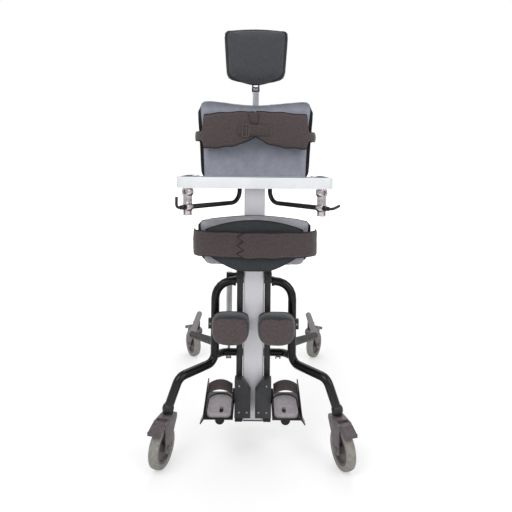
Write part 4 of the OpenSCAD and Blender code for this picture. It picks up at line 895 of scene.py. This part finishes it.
# Narrow middle strap through the ladder buckle, and the folded flap above it
layPanel("chestMiddleStrap", onBow(chestBow, -58, 46, {
    "edges": lambda x: (-18, 20), "half": 3.0, "crease": 0.8, "lift": 6.0, "seed": 9.0, "along": 30,
    "up": 6, "cloth": webbing, "body": "chest"}))
layPanel("chestFoldedFlap", onBow(chestBow, -20, 9, {
    "edges": lambda x: (20 + 0.4 * abs(x + 2), 61 - 0.25 * abs(x + 2)), "half": 3.0, "crease": 1.6,
    "lift": 5.5, "seed": 13.0, "along": 16, "up": 12, "cloth": webbing, "body": "chest"}))

buckleSet = {
    "x": -31, "wide": 22, "tall": 39, "wire": 1.9, "barShare": 0.85, "lift": 9.5, "bars": (2.5,),
    "square": 0.35, "steps": 40}


def buckleMesh(name, s):
    centre, out = bowPath(chestBow)(bowShare(chestBow, s["x"]))[:2]
    along = Vector((-out.y, out.x, 0))
    centre = centre + out * s["lift"] * mm
    ring = []
    for k in range(s["steps"]):
        a = 2 * math.pi * k / s["steps"]
        ring.append(centre + along * signedPower(math.cos(a), s["square"]) * s["wide"] / 2 * mm
                    + up * signedPower(math.sin(a), s["square"]) * s["tall"] / 2 * mm)
    reach = up * s["tall"] / 2 * mm
    bars = [[centre + along * place * mm + end for end in (-reach, reach)] for place in s["bars"]]
    bm = bmesh.new()
    bm.from_mesh(tubeMesh(name, [ring], s["wire"] * mm, closed=True, rounds=3))
    bm.from_mesh(tubeMesh(name + "Bars", bars, s["wire"] * s["barShare"] * mm, rounds=3))
    mesh = meshFrom(bm, name)
    mesh.shade_smooth()
    return mesh


buckle = buckleMesh("chestLadderBuckle", buckleSet)
settle("chestLadderBuckle", buckle, hubNylon, "chest")

# Hip belt: a lens-shaped lining, a left band under a right band whose end is cut in teeth
liningCut = {"low": -87, "rise": 49, "flat": 45, "run": 104, "top": 42, "crown": 36, "half": 172}
bandCut = {"low": -41, "top": 40, "sag": 2.5, "half": 203, "ripple": 0.9}


def liningEdges(x):
    c = liningCut
    low = c["low"] + c["rise"] * (max(0, abs(x) - c["flat"]) / c["run"]) ** 1.3
    return low, c["top"] + c["crown"] * (1 - (x / c["half"]) ** 2)


def bandEdges(x):
    c = bandCut
    sag = c["sag"] * math.cos(math.pi * min(1, abs(x) / c["half"]))
    low = c["low"] - sag + c["ripple"] * math.sin(x / 13)
    return low, c["top"] - sag * 0.4 + c["ripple"] * math.sin(x / 15 + 1)


hipLining = onBow(hipBow, -163, 163, {
    "edges": liningEdges, "half": 4.0, "crease": 1.2, "lift": -9.3, "seed": 21.0, "along": 70, "up": 20,
    "cloth": liningCloth, "body": "hip"})
layPanel("hipLining", hipLining)
bindPanel("hipLining", hipLining, share=0.995, steps=110, radius=2.2)
hipBandSet = {
    "hipBandLeft": {"from": -202.9, "to": -14.0, "seed": 31.0, "lift": 0.0},
    "hipBandRight": {"from": -44.0, "to": 202.9, "seed": 37.0, "lift": 5.5, "teeth": 0.09},
}
for name, part in hipBandSet.items():
    part = onBow(hipBow, part["from"], part["to"], {
        **part, "edges": bandEdges, "half": 4.6, "crease": 1.6, "along": 70, "up": 18,
        "cloth": beltPile, "body": "hip", "stitchLength": 220})
    layPanel(name, part)
    bindPanel(name, part, share=1.0, steps=100, radius=2.2)
    for row, wPlace in (("Upper", 0.86), ("Lower", -0.86)):
        stitchRow(name + row + "Stitch", part, wPlace, pitch=6.0, thread=0.55)
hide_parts("hip_belt")

# Foot straps of doubled webbing
strapSlope = Vector((0, 34, 21)).normalized()
strapSet = {
    "instepStrap": {
        "route": instepPath, "across": strapSlope, "edges": (-19.5, 19.5),
        "shape": {"middle": 111.7, "span": 83.6, "rise": 15, "forward": 45, "height": 182}},
    "heelLoop": {
        "route": heelPath, "across": up, "edges": (0, 15.6),
        "shape": {"middle": 108.2, "radius": 40.2, "leg": 33.6, "forward": 80, "height": 150.3}},
}
for sideName, side in sides.items():
    for name, s in strapSet.items():
        label = name + sideName.capitalize()
        limits = s["edges"]
        route = s["route"]({**s["shape"], "side": side, "across": s["across"]})
        part = {
            "start": -1.0, "end": 1.0, "path": route, "across": s["across"], "half": 1.5, "crease": 0.5,
            "lift": 0.0, "edges": lambda run, limits=limits: limits, "seed": 41.0 + side, "along": 48,
            "up": 8, "cloth": webbing, "body": "foot_" + sideName, "stitchLength": 150}
        strap = layPanel(label, part)
        for row, wPlace in (("Edge", 0.7), ("Inner", -0.7)):
            stitchRow(label + row + "Stitch", part, wPlace, pitch=5.0, thread=0.4)
        if name == "instepStrap":
            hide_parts("foot_straps_" + sideName)
print("belts and straps laid")


# Small hard pieces: axle nuts, screws and the dark sheet in the tray's recess
castorSet = {
    "front_left": (-274, -134, 163), "front_right": (274, -134, 197),
    "rear_left": (-278, 612, 30), "rear_right": (278, 612, -30),
}  # stem X, stem Y and turn of each castor
castorShape = {"trail": 40, "wheelRadius": 62.5, "nutReach": 26.5}


def castorMatrix(corner):
    x, y, turn = castorSet[corner]
    return Matrix.Translation((x * mm, axleY + y * mm, 0)) @ Matrix.Rotation(math.radians(turn), 4, "Z")


# A row of screw heads or nuts; each has a place and the way its head points
def screwMesh(name, places, s):
    bm = bmesh.new()
    bmesh.ops.create_cone(
        bm, cap_ends=True, segments=s["sides"], radius1=s["radius"] * mm, radius2=s["radius"] * mm,
        depth=s["tall"] * mm, matrix=Matrix.Translation(Vector((0, 0, s["tall"] / 2 * mm))))
    head = max(bm.faces, key=lambda f: f.calc_center_median().z)
    bmesh.ops.bevel(
        bm, geom=head.edges[:], offset=s["soft"] * mm, segments=2, profile=0.5, affect="EDGES",
        material=-1)
    head = max((f for f in bm.faces if f.normal.z > 0.99), key=lambda f: f.calc_center_median().z)
    bmesh.ops.inset_individual(bm, faces=[head], thickness=s["radius"] * s["lip"] * mm)
    bmesh.ops.translate(bm, verts=head.verts[:], vec=Vector((0, 0, s["sink"] * mm)))
    single = meshFrom(bm, name + "Single")
    bm = bmesh.new()
    for place, way in places:
        turn = Vector(way).to_track_quat("Z", "Y").to_matrix().to_4x4()
        count = len(bm.verts)
        bm.from_mesh(single)
        bm.verts.ensure_lookup_table()
        bmesh.ops.transform(bm, matrix=Matrix.Translation(place) @ turn, verts=bm.verts[count:])
    return meshFrom(bm, name)


def placeHard(name, mesh, material, body):
    addShading(settle(name, mesh, material, body))


hexNut = {"sides": 6, "radius": 7.5, "tall": 4.0, "soft": 0.8, "lip": 0.35, "sink": 0.6}
capScrew = {"sides": 18, "radius": 4.6, "tall": 3.2, "soft": 0.7, "lip": 0.4, "sink": -1.6}
smallScrew = {"sides": 16, "radius": 3.4, "tall": 1.8, "soft": 0.5, "lip": 0.4, "sink": -1.0}

for corner in corners:
    base = castorMatrix(corner)
    side = base.to_3x3() @ Vector((1, 0, 0))
    hub = base @ Vector((0, castorShape["trail"] * mm, castorShape["wheelRadius"] * mm))
    label = "axleNuts" + "".join(word.capitalize() for word in corner.split("_"))
    nuts = [(hub + side * way * castorShape["nutReach"] * mm, side * way) for way in (-1, 1)]
    placeHard(label, screwMesh(label, nuts, hexNut), greyNylon, "fork_" + corner)
print("axle nuts set")

# Dark sheet that lies in the tray's recess
sheetSet = {
    "wide": 454, "front": 325, "back": 120, "gap": 364, "bar": 74, "corner": 30, "inset": 10.8,
    "low": 918.1, "tall": 1.5}
arcSteps = 8


def sheetCorner(x, forward, radius, first, last):
    angles = [math.radians(first + (last - first) * k / arcSteps) for k in range(arcSteps + 1)]
    return [(x + radius * math.cos(a), forward + radius * math.sin(a)) for a in angles]


def sheetMesh(name, s):
    outer, inner = s["corner"] - s["inset"], s["corner"] + s["inset"]
    side, gap = s["wide"] / 2 - s["inset"], s["gap"] / 2 + s["inset"]
    front, back = s["front"] - s["inset"], s["back"] + s["inset"]
    bar = s["front"] - s["bar"] + s["inset"]
    half = sheetCorner(gap - inner, bar - inner, inner, 90, 0)
    half += [(gap, back), (side - outer, back)]
    half += sheetCorner(side - outer, back + outer, outer, 270, 360)
    half += sheetCorner(side - outer, front - outer, outer, 0, 90)
    loop = half + [(-x, forward) for x, forward in reversed(half)]
    bm = bmesh.new()
    ring = [bm.verts.new(framePoint(x, forward, s["low"])) for x, forward in loop]
    face = bm.faces.new(ring)
    grown = bmesh.ops.extrude_face_region(bm, geom=[face])["geom"]
    top = [item for item in grown if isinstance(item, bmesh.types.BMVert)]
    bmesh.ops.translate(bm, verts=top, vec=Vector((0, 0, s["tall"] * mm)))
    bmesh.ops.recalc_face_normals(bm, faces=bm.faces[:])
    return meshFrom(bm, name)


placeHard("trayRecessSheet", sheetMesh("trayRecessSheet", sheetSet), trayRecessSheet, "tray")
print("tray recess sheet laid")

# Screws in the foot brackets, the chest belt's anchors and the knee pads' arms; all heads face the front
screwSet = {
    "footBracketScrews": {
        "kind": smallScrew, "bodies": ("foot_bracket_left", "foot_bracket_right"),
        "places": [(46, 74, 206), (46, 74, 118), (20, 74, 118)]},
    "anchorScrews": {"kind": capScrew, "bodies": ("chest", "chest"), "places": [(190, 74, 1046)]},
    "kneeScrews": {
        "kind": smallScrew, "bodies": ("knee_left", "knee_right"), "places": [(149, 53.5, 408)]},
}
toFront = (0, -1, 0)
for name, s in screwSet.items():
    for body, (sideName, side) in zip(s["bodies"], sides.items()):
        heads = [(framePoint(side * x, forward, z), toFront) for x, forward, z in s["places"]]
        label = name + sideName.capitalize()
        placeHard(label, screwMesh(label, heads, s["kind"]), zincScrew, body)
print("screws set")
